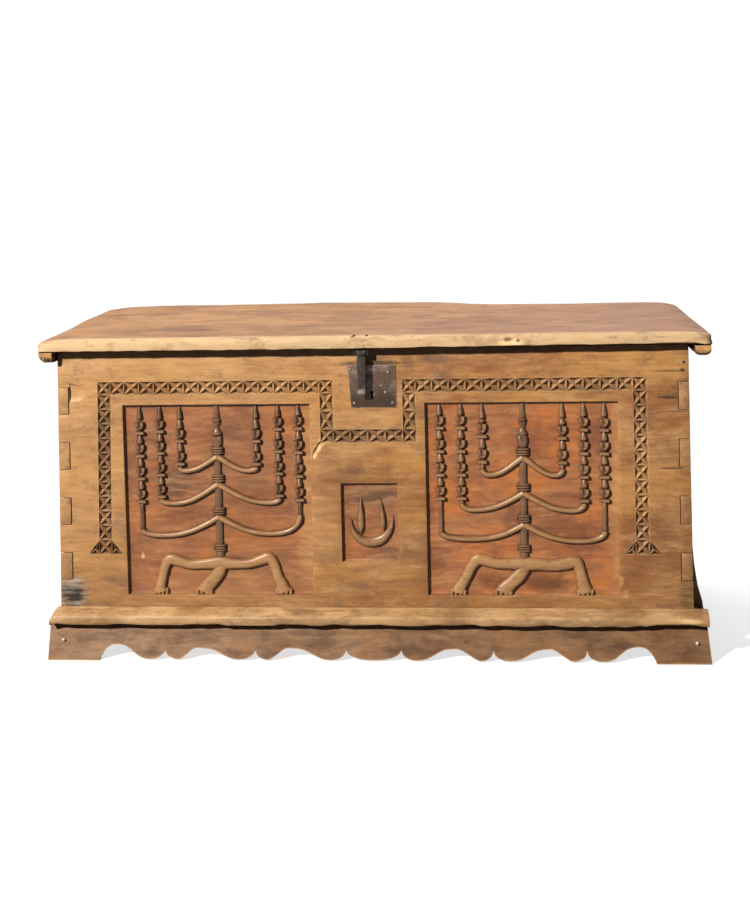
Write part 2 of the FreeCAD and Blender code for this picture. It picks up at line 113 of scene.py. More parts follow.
def weather(bm, size, depth, where=None):
    # hand work and wear: points sink by an even noise, never outwards
    bm.normal_update()
    moves = []
    for v in bm.verts:
        if where is None or where(v.co):
            moves.append((v, v.normal * depth * (0.5 + 0.5 * noise.noise(v.co / size))))
    for v, move in moves:
        v.co -= move


def endGrain(bm, axis):
    bm.normal_update()
    for face in bm.faces:
        if abs(face.normal[axis]) > 0.8:
            face.material_index = 1


def makePiece(name, bm, body, slotName, materials, smooth=None, replaced=()):
    mesh = bpy.data.meshes.new(name)
    bm.to_mesh(mesh)
    bm.free()
    for material in materials:
        mesh.materials.append(material)
    if smooth:
        mesh.polygons.foreach_set("use_smooth", [True] * len(mesh.polygons))
        mesh.set_sharp_from_angle(angle=math.radians(smooth))
    piece = bpy.data.objects.new(name, mesh)
    bpy.context.scene.collection.objects.link(piece)
    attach(piece, body)
    if replaced:
        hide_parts(*replaced)


# materials

def blend(tree, fac, low, high, one, two, most=1.0):
    # colour one turns into colour two while the value goes from low to high
    ramp = addNode(tree, "ShaderNodeMapRange", {"From Min": low, "From Max": high, "To Max": most},
                   {"Value": fac})
    mix = addNode(tree, "ShaderNodeMix", {"data_type": "RGBA"}, {"Factor": ramp.outputs[0]})
    for socket, value in ((mix.inputs[6], one), (mix.inputs[7], two)):
        if isinstance(value, str):
            socket.default_value = linear(value)
        else:
            tree.links.new(value, socket)
    return mix.outputs[2]


def agedWood(name, look):
    # old hand-planed wood under wax: fibres and rings run along the board, stains and worm specks
    # break them, hollows are darkened with dirt and painted shade, corners are rubbed pale and the wax gives
    # a dull satin
    material = bpy.data.materials.new(name)
    material.use_nodes = True
    tree = material.node_tree
    tree.nodes.clear()
    axis = look["grain"]
    coords = addNode(tree, "ShaderNodeTexCoord").outputs["Object"]
    # the grain wanders a little, so its lines are never ruled
    swirl = addNode(tree, "ShaderNodeTexNoise", {"Scale": 1 / (150 * mm), "Detail": 2.0}, {"Vector": coords})
    wavy = addNode(tree, "ShaderNodeVectorMath", {"operation": "MULTIPLY_ADD", 1: [look["wander"] * mm] * 3},
                   {0: swirl.outputs["Color"], 2: coords}).outputs[0]

    def grainPattern(along, across, detail, turn=0.0, rough=0.6):
        # uneven tone drawn out along the grain, its sizes in millimetres
        scale = [1 / (across * mm)] * 3
        scale[axis] = 1 / (along * mm)
        turned = addNode(tree, "ShaderNodeMapping", {"Rotation": [0.0, turn, 0.0]}, {"Vector": wavy})
        drawn = addNode(tree, "ShaderNodeMapping", {"Scale": scale}, {"Vector": turned.outputs[0]})
        return addNode(tree, "ShaderNodeTexNoise", {"Scale": 1.0, "Detail": detail, "Roughness": rough},
                       {"Vector": drawn.outputs[0]}).outputs["Fac"]

    # growth rings round a heart behind the board, bent by a slow noise
    flat = [1.0, 1.0, 1.0]
    flat[axis] = 0.03
    toHeart = addNode(tree, "ShaderNodeMapping", {"Location": [-c * mm for c in look["heart"]]},
                      {"Vector": coords})
    squashed = addNode(tree, "ShaderNodeVectorMath", {"operation": "MULTIPLY", 1: flat},
                       {0: toHeart.outputs[0]})
    radius = addNode(tree, "ShaderNodeVectorMath", {"operation": "LENGTH"}, {0: squashed.outputs[0]})
    bent = addNode(tree, "ShaderNodeMath", {"operation": "MULTIPLY_ADD", 1: look["bend"] * mm},
                   {0: grainPattern(look["figure"], look["figure"] / 5, 2.0), 2: radius.outputs["Value"]})
    turns = addNode(tree, "ShaderNodeMath", {"operation": "MULTIPLY", 1: 1 / (look["ring"] * mm)},
                    {0: bent.outputs[0]})
    ring = addNode(tree, "ShaderNodeMath", {"operation": "FRACT"}, {0: turns.outputs[0]}).outputs[0]

    size = look["patch"]
    fibre = grainPattern(55, 1.3, 4.0, rough=0.7)
    streak = grainPattern(190, 7, 5.0, rough=0.65)
    patch = grainPattern(size * 1.7, size, 6.0, rough=0.65)
    tone = grainPattern(size * 2.3, size * 1.3, 4.0, turn=0.5)
    smudge = grainPattern(size * 0.6, size * 0.4, 5.0, rough=0.7)
    cloud = grainPattern(85, 16, 6.0, rough=0.68)
    ragged = grainPattern(12, 7, 5.0, rough=0.7)
    scratch = grainPattern(70, 0.9, 1.0, turn=1.1)
    speck = addNode(tree, "ShaderNodeTexVoronoi", {"Scale": 1 / (17 * mm), "Randomness": 1.0},
                    {"Vector": coords}).outputs["Distance"]

    colour = blend(tree, streak, 0.34, 0.66, look["mid"], look["light"])
    colour = blend(tree, tone, 0.44, 0.60, colour, look["toneColour"], 0.85)
    colour = blend(tree, patch, 0.46, 0.62, colour, look["patchColour"], 0.9)
    # broad fading of the board from one side to the other
    spread = addNode(tree, "ShaderNodeSeparateXYZ", None, {0: coords})
    for side, start, end, tint, most in look["fades"]:
        uneven = addNode(tree, "ShaderNodeMath", {"operation": "MULTIPLY_ADD", 1: (end - start) * 0.8 * mm},
                         {0: patch, 2: spread.outputs[side]})
        shift = (end - start) * 0.4
        colour = blend(tree, uneven.outputs[0], (start + shift) * mm, (end + shift) * mm, colour, tint, most)
    # clouds, rings, fibres, smudges, scratches and worm specks, laid one over the other
    layers = ((cloud, 0.48, 0.28, "pale", 0.5), (ring, 0.35, 1.0, "dark", look["ringDepth"]),
              (fibre, 0.52, 0.75, "dark", 0.32), (fibre, 0.46, 0.28, "pale", 0.25),
              (cloud, 0.53, 0.70, "dark", look["grimeDepth"] * 0.8),
              (smudge, 0.54, 0.70, "grime", look["grimeDepth"]), (scratch, 0.70, 0.78, "grime", 0.4),
              (scratch, 0.27, 0.20, "pale", 0.4), (speck, 0.085, 0.05, "dirtAndShade", 0.8))
    for fac, low, high, tint, most in layers:
        colour = blend(tree, fac, low, high, colour, look[tint], most)
    # marks: each a place and half size in millimetres, its colours and its strength
    for place, half, (darker, lighter), most in look["marks"]:
        off = addNode(tree, "ShaderNodeVectorMath", {"operation": "SUBTRACT", 1: [c * mm for c in place]},
                      {0: coords})
        scaled = addNode(tree, "ShaderNodeVectorMath", {"operation": "DIVIDE", 1: [h * mm for h in half]},
                         {0: off.outputs[0]})
        far = addNode(tree, "ShaderNodeVectorMath", {"operation": "LENGTH"}, {0: scaled.outputs[0]})
        broken = addNode(tree, "ShaderNodeMath", {"operation": "MULTIPLY_ADD", 1: -1.5},
                         {0: ragged, 2: far.outputs["Value"]})
        flecked = blend(tree, cloud, 0.56, 0.40, darker, lighter)
        colour = blend(tree, broken.outputs[0], 0.5, -0.2, colour, flecked, most)

    # dirt and painted shade darkening the hollows, and pale rubbed corners
    hollow = addNode(tree, "ShaderNodeAmbientOcclusion", {"samples": 8, "Distance": look["dirtShadeReach"] * mm})
    colour = blend(tree, hollow.outputs["AO"], 0.72, 0.3, colour, look["dirtAndShade"], look["dirtShadeDepth"])
    if look["rubReach"]:
        corner = addNode(tree, "ShaderNodeAmbientOcclusion",
                         {"samples": 8, "inside": True, "only_local": True,
                          "Distance": look["rubReach"] * mm})
        rubbed = addNode(tree, "ShaderNodeMath", {"operation": "MULTIPLY_ADD", 1: 0.5},
                         {0: smudge, 2: corner.outputs["AO"]})
        colour = blend(tree, rubbed.outputs[0], 0.95, 0.55, colour, look["rubbed"])

    # slow waves of the plane, with fibres and rings standing a little proud
    waves = grainPattern(120, 26, 2.0)
    fine = addNode(tree, "ShaderNodeMath", {"operation": "MULTIPLY_ADD", 1: 0.12}, {0: fibre, 2: waves})
    cut = addNode(tree, "ShaderNodeMath", {"operation": "MULTIPLY_ADD", 1: 0.03},
                  {0: ring, 2: fine.outputs[0]})
    bump = addNode(tree, "ShaderNodeBump", {"Strength": look["bump"], "Distance": 2.2 * mm},
                   {"Height": cut.outputs[0]})
    dull = addNode(tree, "ShaderNodeMapRange",
                   {"From Min": 0.3, "From Max": 0.7, "To Min": look["rough"] - 0.12,
                    "To Max": look["rough"] + 0.12}, {"Value": patch})
    shader = addNode(tree, "ShaderNodeBsdfPrincipled", {"IOR": 1.45, "Specular IOR Level": look["gloss"]},
                     {"Base Color": colour, "Roughness": dull.outputs[0], "Normal": bump.outputs[0]})
    addNode(tree, "ShaderNodeOutputMaterial", None, {"Surface": shader.outputs[0]})
    return material


markDepth = 60


def onFront(y, *spots):
    # marks on a face that looks forward, each as (x, z, half width, half height, colours, strength)
    return tuple(((x, y, z), (wide, markDepth, high), tints, most)
                 for x, z, wide, high, tints, most in spots)


# colours of the marks, darker and lighter
rot = ("#1f1916", "#8a8074")
damp = ("#43331f", "#6b5433")
shade = ("#4a3527", "#7d5f48")
soot = ("#4a3529", "#62483a")
# dark of cracks, also used as painted shade
crackAndShadeDark = ("#1a110b", "#2a1d14")
# pale of fresh wood, also used as a painted highlight
freshWoodAndHighlight = ("#a98459", "#c4a278")
# painted shade between parts of the carving
paintedShadeBetweenParts = ("#55331f", "#6b4429")
worn = ("#86603c", "#9a744c")
bare = ("#c9a878", "#dcc094")

# the front's fade towards the left is lighter, partly painted light from the key light's side; its fade
# towards the foot is darker
frontLook = {"grain": 0, "heart": (0, -180, 330), "ring": 9, "bend": 70, "figure": 520, "ringDepth": 0.14,
             "wander": 40, "mid": "#8a643f", "light": "#a07b52", "dark": "#50341d", "pale": "#b28f64",
             "patch": 85, "toneColour": "#9a6f3a", "patchColour": "#754a2a", "grime": "#5a463a",
             "grimeDepth": 0.65, "dirtAndShade": "#20130a", "dirtShadeReach": 7, "dirtShadeDepth": 0.85, "rubbed": "#b3946a",
             "rubReach": 2.5, "bump": 0.45, "rough": 0.55, "gloss": 0.3,
             "fades": (("X", 100, -480, "#a5835a", 0.48), ("Z", 400, 60, "#6b4527", 0.6)),
             "marks": onFront(-245, (-554, 117, 27, 37, rot, 1.0), (562, 128, 18, 44, damp, 0.7),
                              (72, 538, 13, 15, soot, 0.6), (118, 545, 27, 10, soot, 0.7),
                              (22, 546, 20, 10, soot, 0.5), (-483, 145, 18, 6, soot, 0.5),
                              (529, 471, 17, 2.5, crackAndShadeDark, 0.8), (532, 345, 20, 2, crackAndShadeDark, 0.7),
                              (530, 518, 28, 2, crackAndShadeDark, 0.6), (554, 519, 5, 3, crackAndShadeDark, 0.9),
                              (546, 446, 26, 1.6, crackAndShadeDark, 0.6), (560, 190, 14, 2.2, crackAndShadeDark, 0.8),
                              # the dark mark at x 8, z 537 is painted shade above the lock plate; the other
                              # dark lines are cracks
                              (8, 537, 62, 5, crackAndShadeDark, 0.8), (-87, 396, 6, 8, freshWoodAndHighlight, 1.0),
                              (-94, 385, 6, 8, freshWoodAndHighlight, 1.0), (-101, 374, 6, 8, freshWoodAndHighlight, 1.0),
                              # the two pale marks at x 443 and 452 are a painted highlight on the lit right
                              # wall of the right panel
                              (443, 142, 6, 10, freshWoodAndHighlight, 0.4), (452, 119, 5, 8, freshWoodAndHighlight, 0.3))}
bandLook = dict(frontLook, light="#a5835f", mid="#96734f", pale="#c0a27c", toneColour="#967148",
                patchColour="#7d5c3e", dirtAndShade="#24120a", dirtShadeReach=6, rubReach=0, grimeDepth=0.3, fades=(),
                gloss=0.45, rough=0.45,
                marks=onFront(-245, (-486, 330, 40, 190, shade, 0.6), (0, 420, 110, 50, shade, 0.6),
                              (300, 496, 190, 30, shade, 0.35)))
groundLook = dict(frontLook, mid="#7d4e31", light="#956745", dark="#42261a", pale="#a4784f",
                  toneColour="#9c5d2f", patchColour="#683f2c", patch=60, grime="#5e4a3b", grimeDepth=0.5,
                  dirtAndShade="#30120a", rubReach=0, ringDepth=0.1, rough=0.5,
                  fades=(("X", 70, -130, "#6d4831", 0.4),),
                  marks=onFront(-238, (-112, 290, 26, 215, worn, 0.8), (442, 290, 22, 215, worn, 0.7),
                                (-423, 186, 3, 6, freshWoodAndHighlight, 0.7), (-354, 318, 30, 30, shade, 0.7),
                                # the dark marks at x -348, 309 and 220 are painted shade under an arm and
                                # between the tripod legs
                                (-348, 260, 44, 13, paintedShadeBetweenParts, 0.7), (309, 138, 44, 16, paintedShadeBetweenParts, 0.9),
                                (220, 140, 30, 14, paintedShadeBetweenParts, 0.7), (-4, 300, 60, 30, shade, 0.75),
                                (20, 192, 40, 18, shade, 0.5), (125, 440, 26, 26, shade, 0.5),
                                (-330, 380, 110, 90, shade, 0.28), (-280, 138, 150, 26, worn, 0.3)))
# the columns and stem are coloured darker than the arms and legs, partly painted shade among their cups and
# rings; the Y fades pale the crests, rubbed wear and a painted highlight
columnLook = dict(groundLook, mid="#452c1d", light="#553a27", dark="#20110a", pale="#73543b",
                  toneColour="#4a2e1b", patchColour="#3c2519", patch=30, dirtAndShade="#180904", dirtShadeReach=9,
                  dirtShadeDepth=1.0, gloss=0.5, rough=0.4, marks=(),
                  fades=(("X", -80, 140, "#76543a", 0.55), ("Y", -242.2, -244.2, "#93704d", 0.55)))
armLook = dict(columnLook, mid="#63452d", light="#78583c", toneColour="#624128", patchColour="#543826",
               pale="#8e6c4a", dirtShadeReach=7, dirtShadeDepth=0.95, fades=(("Y", -241.8, -244.6, "#a58058", 0.7),))
stemLook = dict(armLook, mid="#553a27", light="#674a33", toneColour="#543722", patchColour="#483022",
                pale="#7c5d41", fades=(("Y", -241.4, -244.0, "#7d5c40", 0.5),))
legLook = dict(armLook, mid="#765438", light="#896645", toneColour="#7c5731", patchColour="#68472e",
               pale="#a07d56", dark="#452c1a", gloss=0.4, dirtShadeReach=5, dirtShadeDepth=0.6,
               fades=(("Y", -242.0, -244.8, "#a58056", 0.5),))
caseLook = dict(frontLook, grain=1, heart=(0, 0, 330), mid="#806040", light="#93704a", toneColour="#876440",
                patchColour="#735233", marks=(), fades=(), grimeDepth=0.4)
lidLook = dict(frontLook, heart=(0, 40, 450), mid="#835e3e", light="#98714b", dark="#523824", pale="#a88258",
               ring=11, toneColour="#8b653f", patchColour="#6f5040", patch=110, rubbed="#ccb48c", rubReach=9,
               rough=0.7, gloss=0.12,
               fades=(("X", -60, 480, "#8a6b5a", 0.75), ("Y", -240, -270, "#b69f7e", 0.95)),
               marks=(((255, -271, 574), (22, 8, 8), bare, 0.9), ((250, -271, 580), (9, 9, 4), soot, 0.9),
                      ((-25, -262, 589), (4, 6, 4), soot, 0.9)))
# the cleats are coloured darker than the lid, painted shade under its overhang
cleatLook = dict(lidLook, grain=1, mid="#5f452d", light="#6e5236", toneColour="#5e432a",
                 patchColour="#50392a", rubReach=2, rubbed="#8a6c48", fades=(), marks=())
mouldingLook = dict(frontLook, heart=(0, -200, 80), mid="#907453", light="#ad8f6b", toneColour="#9c7d54",
                    patchColour="#7a5b3a", patch=60, rubReach=0, gloss=0.4, rough=0.5, fades=(),
                    marks=onFront(-268, (556, 76, 34, 5, freshWoodAndHighlight, 0.9), (330, 86, 50, 3, worn, 0.6)))
plinthLook = dict(frontLook, heart=(0, -200, 20), mid="#5f452f", light="#7b5d42", dark="#362315",
                  pale="#8a6c4e", toneColour="#6a482a", patchColour="#4b3220", patch=45, grimeDepth=0.8,
                  rubbed="#9a7d5a", rubReach=3, marks=(), fades=())
insideLook = dict(frontLook, heart=(0, 0, 0), mid="#7f6446", light="#917555", dark="#5d4731",
                  toneColour="#866a48", patchColour="#705539", rubReach=0, marks=(), fades=(), rough=0.75,
                  gloss=0.2)
endGrainLook = dict(frontLook, grain=1, ring=4, mid="#866343", light="#96734e", dark="#553a25",
                    toneColour="#8a6741", patchColour="#735236", marks=(), rough=0.7)
cleatEndLook = dict(endGrainLook, mid="#a07a4e", light="#b48d5e", toneColour="#a67c4a",
                    patchColour="#94703f", pale="#c2a074", fades=(),
                    # the dark mark on the left cleat's front end is painted shade under the lid
                    marks=onFront(-266, (-592, 545, 60, 13, crackAndShadeDark, 1.0)))

frontWood = agedWood("old_walnut_waxed_front", frontLook)
bandWood = agedWood("old_walnut_chip_carved", bandLook)
groundWood = agedWood("old_walnut_waxed_panel_ground", groundLook)
columnWood = agedWood("old_walnut_waxed_columns", columnLook)
armWood = agedWood("old_walnut_waxed_arms", armLook)
legWood = agedWood("old_walnut_waxed_legs", legLook)
stemWood = agedWood("old_walnut_waxed_stem", stemLook)
caseWood = agedWood("old_walnut_waxed_ends", caseLook)
backWood = agedWood("old_walnut_plain_back", dict(caseLook, grain=0))
lidWood = agedWood("old_walnut_rubbed_lid", lidLook)
cleatWood = agedWood("old_walnut_rubbed_cleat", cleatLook)
mouldingWood = agedWood("old_walnut_waxed_moulding", mouldingLook)
mouldingSideWood = agedWood("old_walnut_waxed_moulding_ends", dict(mouldingLook, grain=1))
plinthWood = agedWood("old_walnut_waxed_plinth", plinthLook)
plinthSideWood = agedWood("old_walnut_waxed_plinth_ends", dict(plinthLook, grain=1))
bareWood = agedWood("bare_walnut_sawn", insideLook)
endWood = agedWood("old_walnut_end_grain", endGrainLook)
cleatEndWood = agedWood("old_walnut_cleat_end_grain", cleatEndLook)


def forgedIron(name, look):
    # hand-forged iron: hammered dark skin, brown rust in the low places, rubbed bright along its edges
    material = bpy.data.materials.new(name)
    material.use_nodes = True
    tree = material.node_tree
    tree.nodes.clear()
    coords = addNode(tree, "ShaderNodeTexCoord").outputs["Object"]
    hammer = addNode(tree, "ShaderNodeTexNoise", {"Scale": 1 / (6 * mm), "Detail": 3.0}, {"Vector": coords})
    rust = addNode(tree, "ShaderNodeTexNoise", {"Scale": 1 / (look["spot"] * mm), "Detail": 7.0,
                                                "Roughness": 0.7}, {"Vector": coords}).outputs["Fac"]
    ramp = addNode(tree, "ShaderNodeValToRGB", None, {"Fac": rust})
    for place, _ in look["skin"][1:-1]:
        ramp.color_ramp.elements.new(place)
    for stop, (place, tint) in zip(ramp.color_ramp.elements, look["skin"]):
        stop.position = place
        stop.color = linear(tint)
    colour = ramp.outputs[0]
    if look["low"]:
        # the lower part takes another tone, with an uneven border
        start, end, tint, most = look["low"]
        height = addNode(tree, "ShaderNodeSeparateXYZ", None, {0: coords})
        uneven = addNode(tree, "ShaderNodeMath", {"operation": "MULTIPLY_ADD", 1: 40 * mm},
                         {0: rust, 2: height.outputs["Z"]})
        colour = blend(tree, uneven.outputs[0], (start + 20) * mm, (end + 20) * mm, colour, tint, most)
    corner = addNode(tree, "ShaderNodeAmbientOcclusion", {"samples": 8, "inside": True, "only_local": True,
                                                          "Distance": look["edge"] * mm})
    rubbed = addNode(tree, "ShaderNodeMath", {"operation": "MULTIPLY_ADD", 1: 0.6},
                     {0: rust, 2: corner.outputs["AO"]})
    colour = blend(tree, rubbed.outputs[0], 1.05, 0.75, colour, look["bright"], 0.8)
    dull = addNode(tree, "ShaderNodeMapRange", {"From Min": 0.35, "From Max": 0.65, "To Min": look["rough"],
                                                "To Max": look["rough"] + 0.3}, {"Value": rust})
    bump = addNode(tree, "ShaderNodeBump", {"Strength": 0.6, "Distance": 0.8 * mm},
                   {"Height": hammer.outputs["Fac"]})
    shader = addNode(tree, "ShaderNodeBsdfPrincipled", {"Metallic": look["metal"]},
                     {"Base Color": colour, "Roughness": dull.outputs[0], "Normal": bump.outputs[0]})
    addNode(tree, "ShaderNodeOutputMaterial", None, {"Surface": shader.outputs[0]})
    return material


plateSkin = {"skin": ((0.34, "#857a72"), (0.45, "#5f5148"), (0.56, "#463830"), (0.68, "#573f30")),
             "spot": 24, "rough": 0.4, "metal": 0.6, "bright": "#b5a797", "edge": 1.3,
             "low": (512, 470, "#2c2018", 0.9)}
# the hasp bar's pale lower tint is a painted highlight at its curled tip
barSkin = {"skin": ((0.36, "#2a201c"), (0.5, "#150f0d"), (0.66, "#1f1511")), "spot": 9, "rough": 0.6,
           "metal": 0.2, "bright": "#85766c", "edge": 2.4, "low": (499, 489, "#75696a", 0.8)}
# the staple and its edges are coloured nearly black, painted shade under the lid
stapleSkin = dict(barSkin, skin=((0.36, "#1a1412"), (0.5, "#120d0c"), (0.66, "#1a120e")), bright="#1c1614",
                  rough=0.9, metal=0.0, low=None)
# nail heads are coloured paler than the iron round them, rubbed wear and a painted glint
glintRubbedSkin = {"skin": ((0.36, "#d8ccba"), (0.5, "#bfb09c"), (0.66, "#8a7460")), "spot": 13, "rough": 0.3,
              "metal": 0.3, "bright": "#e6dccb", "edge": 1.3, "low": None}
nailSkin = dict(glintRubbedSkin, skin=((0.36, "#8c8173"), (0.5, "#766b5f"), (0.66, "#52463c")), bright="#978b7b",
                rough=0.45)
iron = forgedIron("wrought_iron_forged", barSkin)
nailIron = forgedIron("wrought_iron_nail_heads", nailSkin)
stapleIron = forgedIron("wrought_iron_painted_shade", stapleSkin)
plateIron = forgedIron("wrought_iron_hammered_plate", plateSkin)
glintRubbedIron = forgedIron("wrought_iron_rubbed_painted_glint", glintRubbedSkin)
print("materials ready")


# carved front board

frontLow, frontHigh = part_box("front_board")
faceY = frontLow.y
arris = 1.2
jointGap = 1.2
endThickness = 20
insideX = frontHigh.x - (endThickness + jointGap) * mm
tails = {"count": 4, "height": 50, "pitch": 102, "taper": 6, "lowest": 93}
panels = {
    "left": {"x": (-450.5, -107.5), "z": (115, 465), "depth": 7},
    "right": {"x": (99.5, 442.5), "z": (115, 465), "depth": 7},
    "small": {"x": (-54.5, 48.5), "z": (176, 320), "depth": 7},
}
panelSlope = 1.2
lockPocket = {"x": (-24, 36), "z": (472, 520), "depth": 13}
hollows = (
    {"x": (-549, -518), "z": (466, 508), "centre": (-551, 488), "half": (30, 18), "lean": 0.0, "depth": 4.5,
     "edge": 0.5, "cuts": 11},
    {"x": (-110, -80), "z": (364, 402), "centre": (-95, 383), "half": (4, 18), "lean": 0.56, "depth": 4.0,
     "edge": 0.38, "cuts": 11},
)
gouge = {"long": 34, "short": 7, "depth": 2.0, "row": 5, "column": 14, "first": (6, 5), "last": 3}
endLean = ({"side": -1, "from": 530, "top": -3, "foot": 8}, {"side": 1, "from": 500, "top": -6, "foot": 0})
band = {"width": 24, "outer": (-486, 483), "inner": (-77, 72), "top": 496, "dip": 406, "end": 190,
        "cells": {"top": (14, 13), "drop": 2, "dip": 4, "side": 11}, "land": 0.2, "chip": 7.0, "sunk": 9,
        "foot": (33, 26), "slant": ((-520, -452.5, -4.5, 2.2), (450, 517, 0, -3))}


def tailHeights():
    first = frontLow.z + (tails["lowest"] + tails["height"] / 2) * mm
    return [first + i * tails["pitch"] * mm for i in range(tails["count"])]


def bandStrips():
    # every strip as (x0, x1, z0, z1, cells along x, cells along z), in millimetres
    half = band["width"] / 2
    (outLeft, outRight), (inLeft, inRight) = band["outer"], band["inner"]
    top, dip, end = band["top"], band["dip"], band["end"]
    strips = [(x - half, x + half, z - half, z + half, 1, 1)
              for x, z in ((outLeft, top), (outRight, top), (inLeft, top), (inRight, top),
                           (inLeft, dip), (inRight, dip))]
    strips.append((outLeft + half, inLeft - half, top - half, top + half, band["cells"]["top"][0], 1))
    strips.append((inRight + half, outRight - half, top - half, top + half, band["cells"]["top"][1], 1))
    strips.append((inLeft + half, inRight - half, dip - half, dip + half, band["cells"]["dip"], 1))
    for x in (inLeft, inRight):
        strips.append((x - half, x + half, dip + half, top - half, 1, band["cells"]["drop"]))
    for x in (outLeft, outRight):
        strips.append((x - half, x + half, end, top - half, 1, band["cells"]["side"]))
    return strips


def footChips():
    # corners of the four chips that spread the uprights at their foot
    half, (reach, high), end = band["width"] / 2, band["foot"], band["end"]
    return [((x + side * half, end), (x + side * reach, end), (x + side * half, end + high))
            for x in band["outer"] for side in (-1, 1)]


def underChip(face):
    c = face.calc_center_median() / mm
    for (x0, z0), (x1, _), (_, z1) in footChips():
        along, up = (c.x - x0) / (x1 - x0), (c.z - z0) / (z1 - z0)
        if along > 0 and up > 0 and along + up < 1:
            return True
    return False


def slantBand(bm):
    # the uprights were set out by eye and lean against the board
    for v in bm.verts:
        for x0, x1, foot, head in band["slant"]:
            if x0 - 0.1 < v.co.x / mm < x1 + 0.1 and v.co.z / mm > band["end"] - 0.5:
                up = (v.co.z / mm - band["end"]) / (band["top"] - band["end"])
                v.co.x += (foot + (head - foot) * min(1.0, up)) * mm


def within(face, x, z):
    c = face.calc_center_median()
    return x[0] * mm < c.x < x[1] * mm and z[0] * mm < c.z < z[1] * mm


def mainFront(bm):
    bm.normal_update()
    return [f for f in bm.faces if f.normal.y < -0.99 and abs(f.calc_center_median().x) < insideX
            and abs(f.calc_center_median().y - faceY) < 0.01 * mm]


def groundFaces(bm):
    bm.normal_update()
    return [f for f in bm.faces if f.material_index == 1 and f.normal.y < -0.99]


def cutPins(bm):
    # pins between the dovetails, cut on each end and drawn out to the corner
    half, taper = tails["height"] / 2 * mm, tails["taper"] * mm
    for side in (-1, 1):
        for height in tailHeights():
            for up in (-1, 1):
                ends = [f for f in bm.faces if f.normal.x * side > 0.99]
                bmesh.ops.bisect_plane(bm, geom=withEdges(ends), dist=hair,
                                       plane_co=(0, frontLow.y, height + up * (half + jointGap * 0.5 * mm)),
                                       plane_no=(0, up * taper, frontHigh.y - frontLow.y))
                bm.normal_update()
        pins = [f for f in bm.faces if f.normal.x * side > 0.99
                and all(abs(f.calc_center_median().z - height) > half * 0.6 for height in tailHeights())]
        drawOut(bm, pins, (side * (frontHigh.x - insideX), 0, 0))


def markOut(bm):
    # lines of the panels, lock pocket, hollows and band, cut into the face
    openings = [*panels.values(), lockPocket, *hollows]
    openings += [{"x": strip[:2], "z": strip[2:4]} for strip in bandStrips()]
    openings += [{"x": (x0, x1), "z": (z0, z1)} for (x0, z0), (x1, _), (_, z1) in footChips()]
    cutAt(bm, 0, sorted({x * mm for o in openings for x in o["x"]}), mainFront)
    cutAt(bm, 2, sorted({z * mm for o in openings for z in o["z"]}), mainFront)
    for (x0, z0), (x1, _), (_, z1) in footChips():
        corner = [f for f in mainFront(bm) if within(f, sorted((x0, x1)), (z0, z1))]
        bmesh.ops.bisect_plane(bm, geom=withEdges(corner), dist=hair, plane_co=(x1 * mm, 0, z0 * mm),
                               plane_no=(z1 - z0, 0, x1 - x0))


def gougeGrounds(bm):
    # the ground round the carving was cut back with a gouge, in strokes along the grain
    firstX, firstZ = gouge["first"]
    for panel in panels.values():
        (x0, x1), (z0, z1) = panel["x"], panel["z"]
        columns = range(int(x0) + firstX, int(x1) - gouge["last"], gouge["column"])
        rows = range(int(z0) + firstZ, int(z1) - gouge["last"], gouge["row"])
        cutAt(bm, 0, [x * mm for x in columns], groundFaces)
        cutAt(bm, 2, [z * mm for z in rows], groundFaces)
    inner = {v for f in groundFaces(bm) for v in f.verts if all(g.normal.y < -0.99 for g in v.link_faces)}
    for v in inner:
        stroke = Vector((v.co.x / (gouge["long"] * mm), 0, v.co.z / (gouge["short"] * mm)))
        v.co.y += gouge["depth"] * mm * (0.5 + 0.5 * noise.noise(stroke))


def sinkHollows(bm):
    # a scoop beside the first dovetail and a split-off flake under the band
    for hollow in hollows:
        faces = [f for f in mainFront(bm) if within(f, hollow["x"], hollow["z"])]
        edges = list({e for f in faces for e in f.edges})
        bmesh.ops.subdivide_edges(bm, edges=edges, cuts=hollow["cuts"], use_grid_fill=True)
        (cx, cz), (halfX, halfZ) = hollow["centre"], hollow["half"]
        turn = Matrix.Rotation(hollow["lean"], 2)
        for v in {v for f in mainFront(bm) for v in f.verts}:
            along = turn @ Vector((v.co.x / mm - cx, v.co.z / mm - cz))
            deep = 1 - (along.x / halfX) ** 2 - (along.y / halfZ) ** 2
            if deep > 0:
                v.co.y += hollow["depth"] * mm * deep ** hollow["edge"]


def leanOut(bm):
    # the ends have come out of plumb and stand wider at the foot than under the lid
    for v in bm.verts:
        up = (v.co.z - frontLow.z) / (frontHigh.z - frontLow.z)
        for lean in endLean:
            reach = (v.co.x * lean["side"] / mm - lean["from"]) / (frontHigh.x / mm - lean["from"])
            out = lean["foot"] * (1 - up) + lean["top"] * up
            v.co.x += lean["side"] * out * mm * min(1.0, max(0.0, reach))


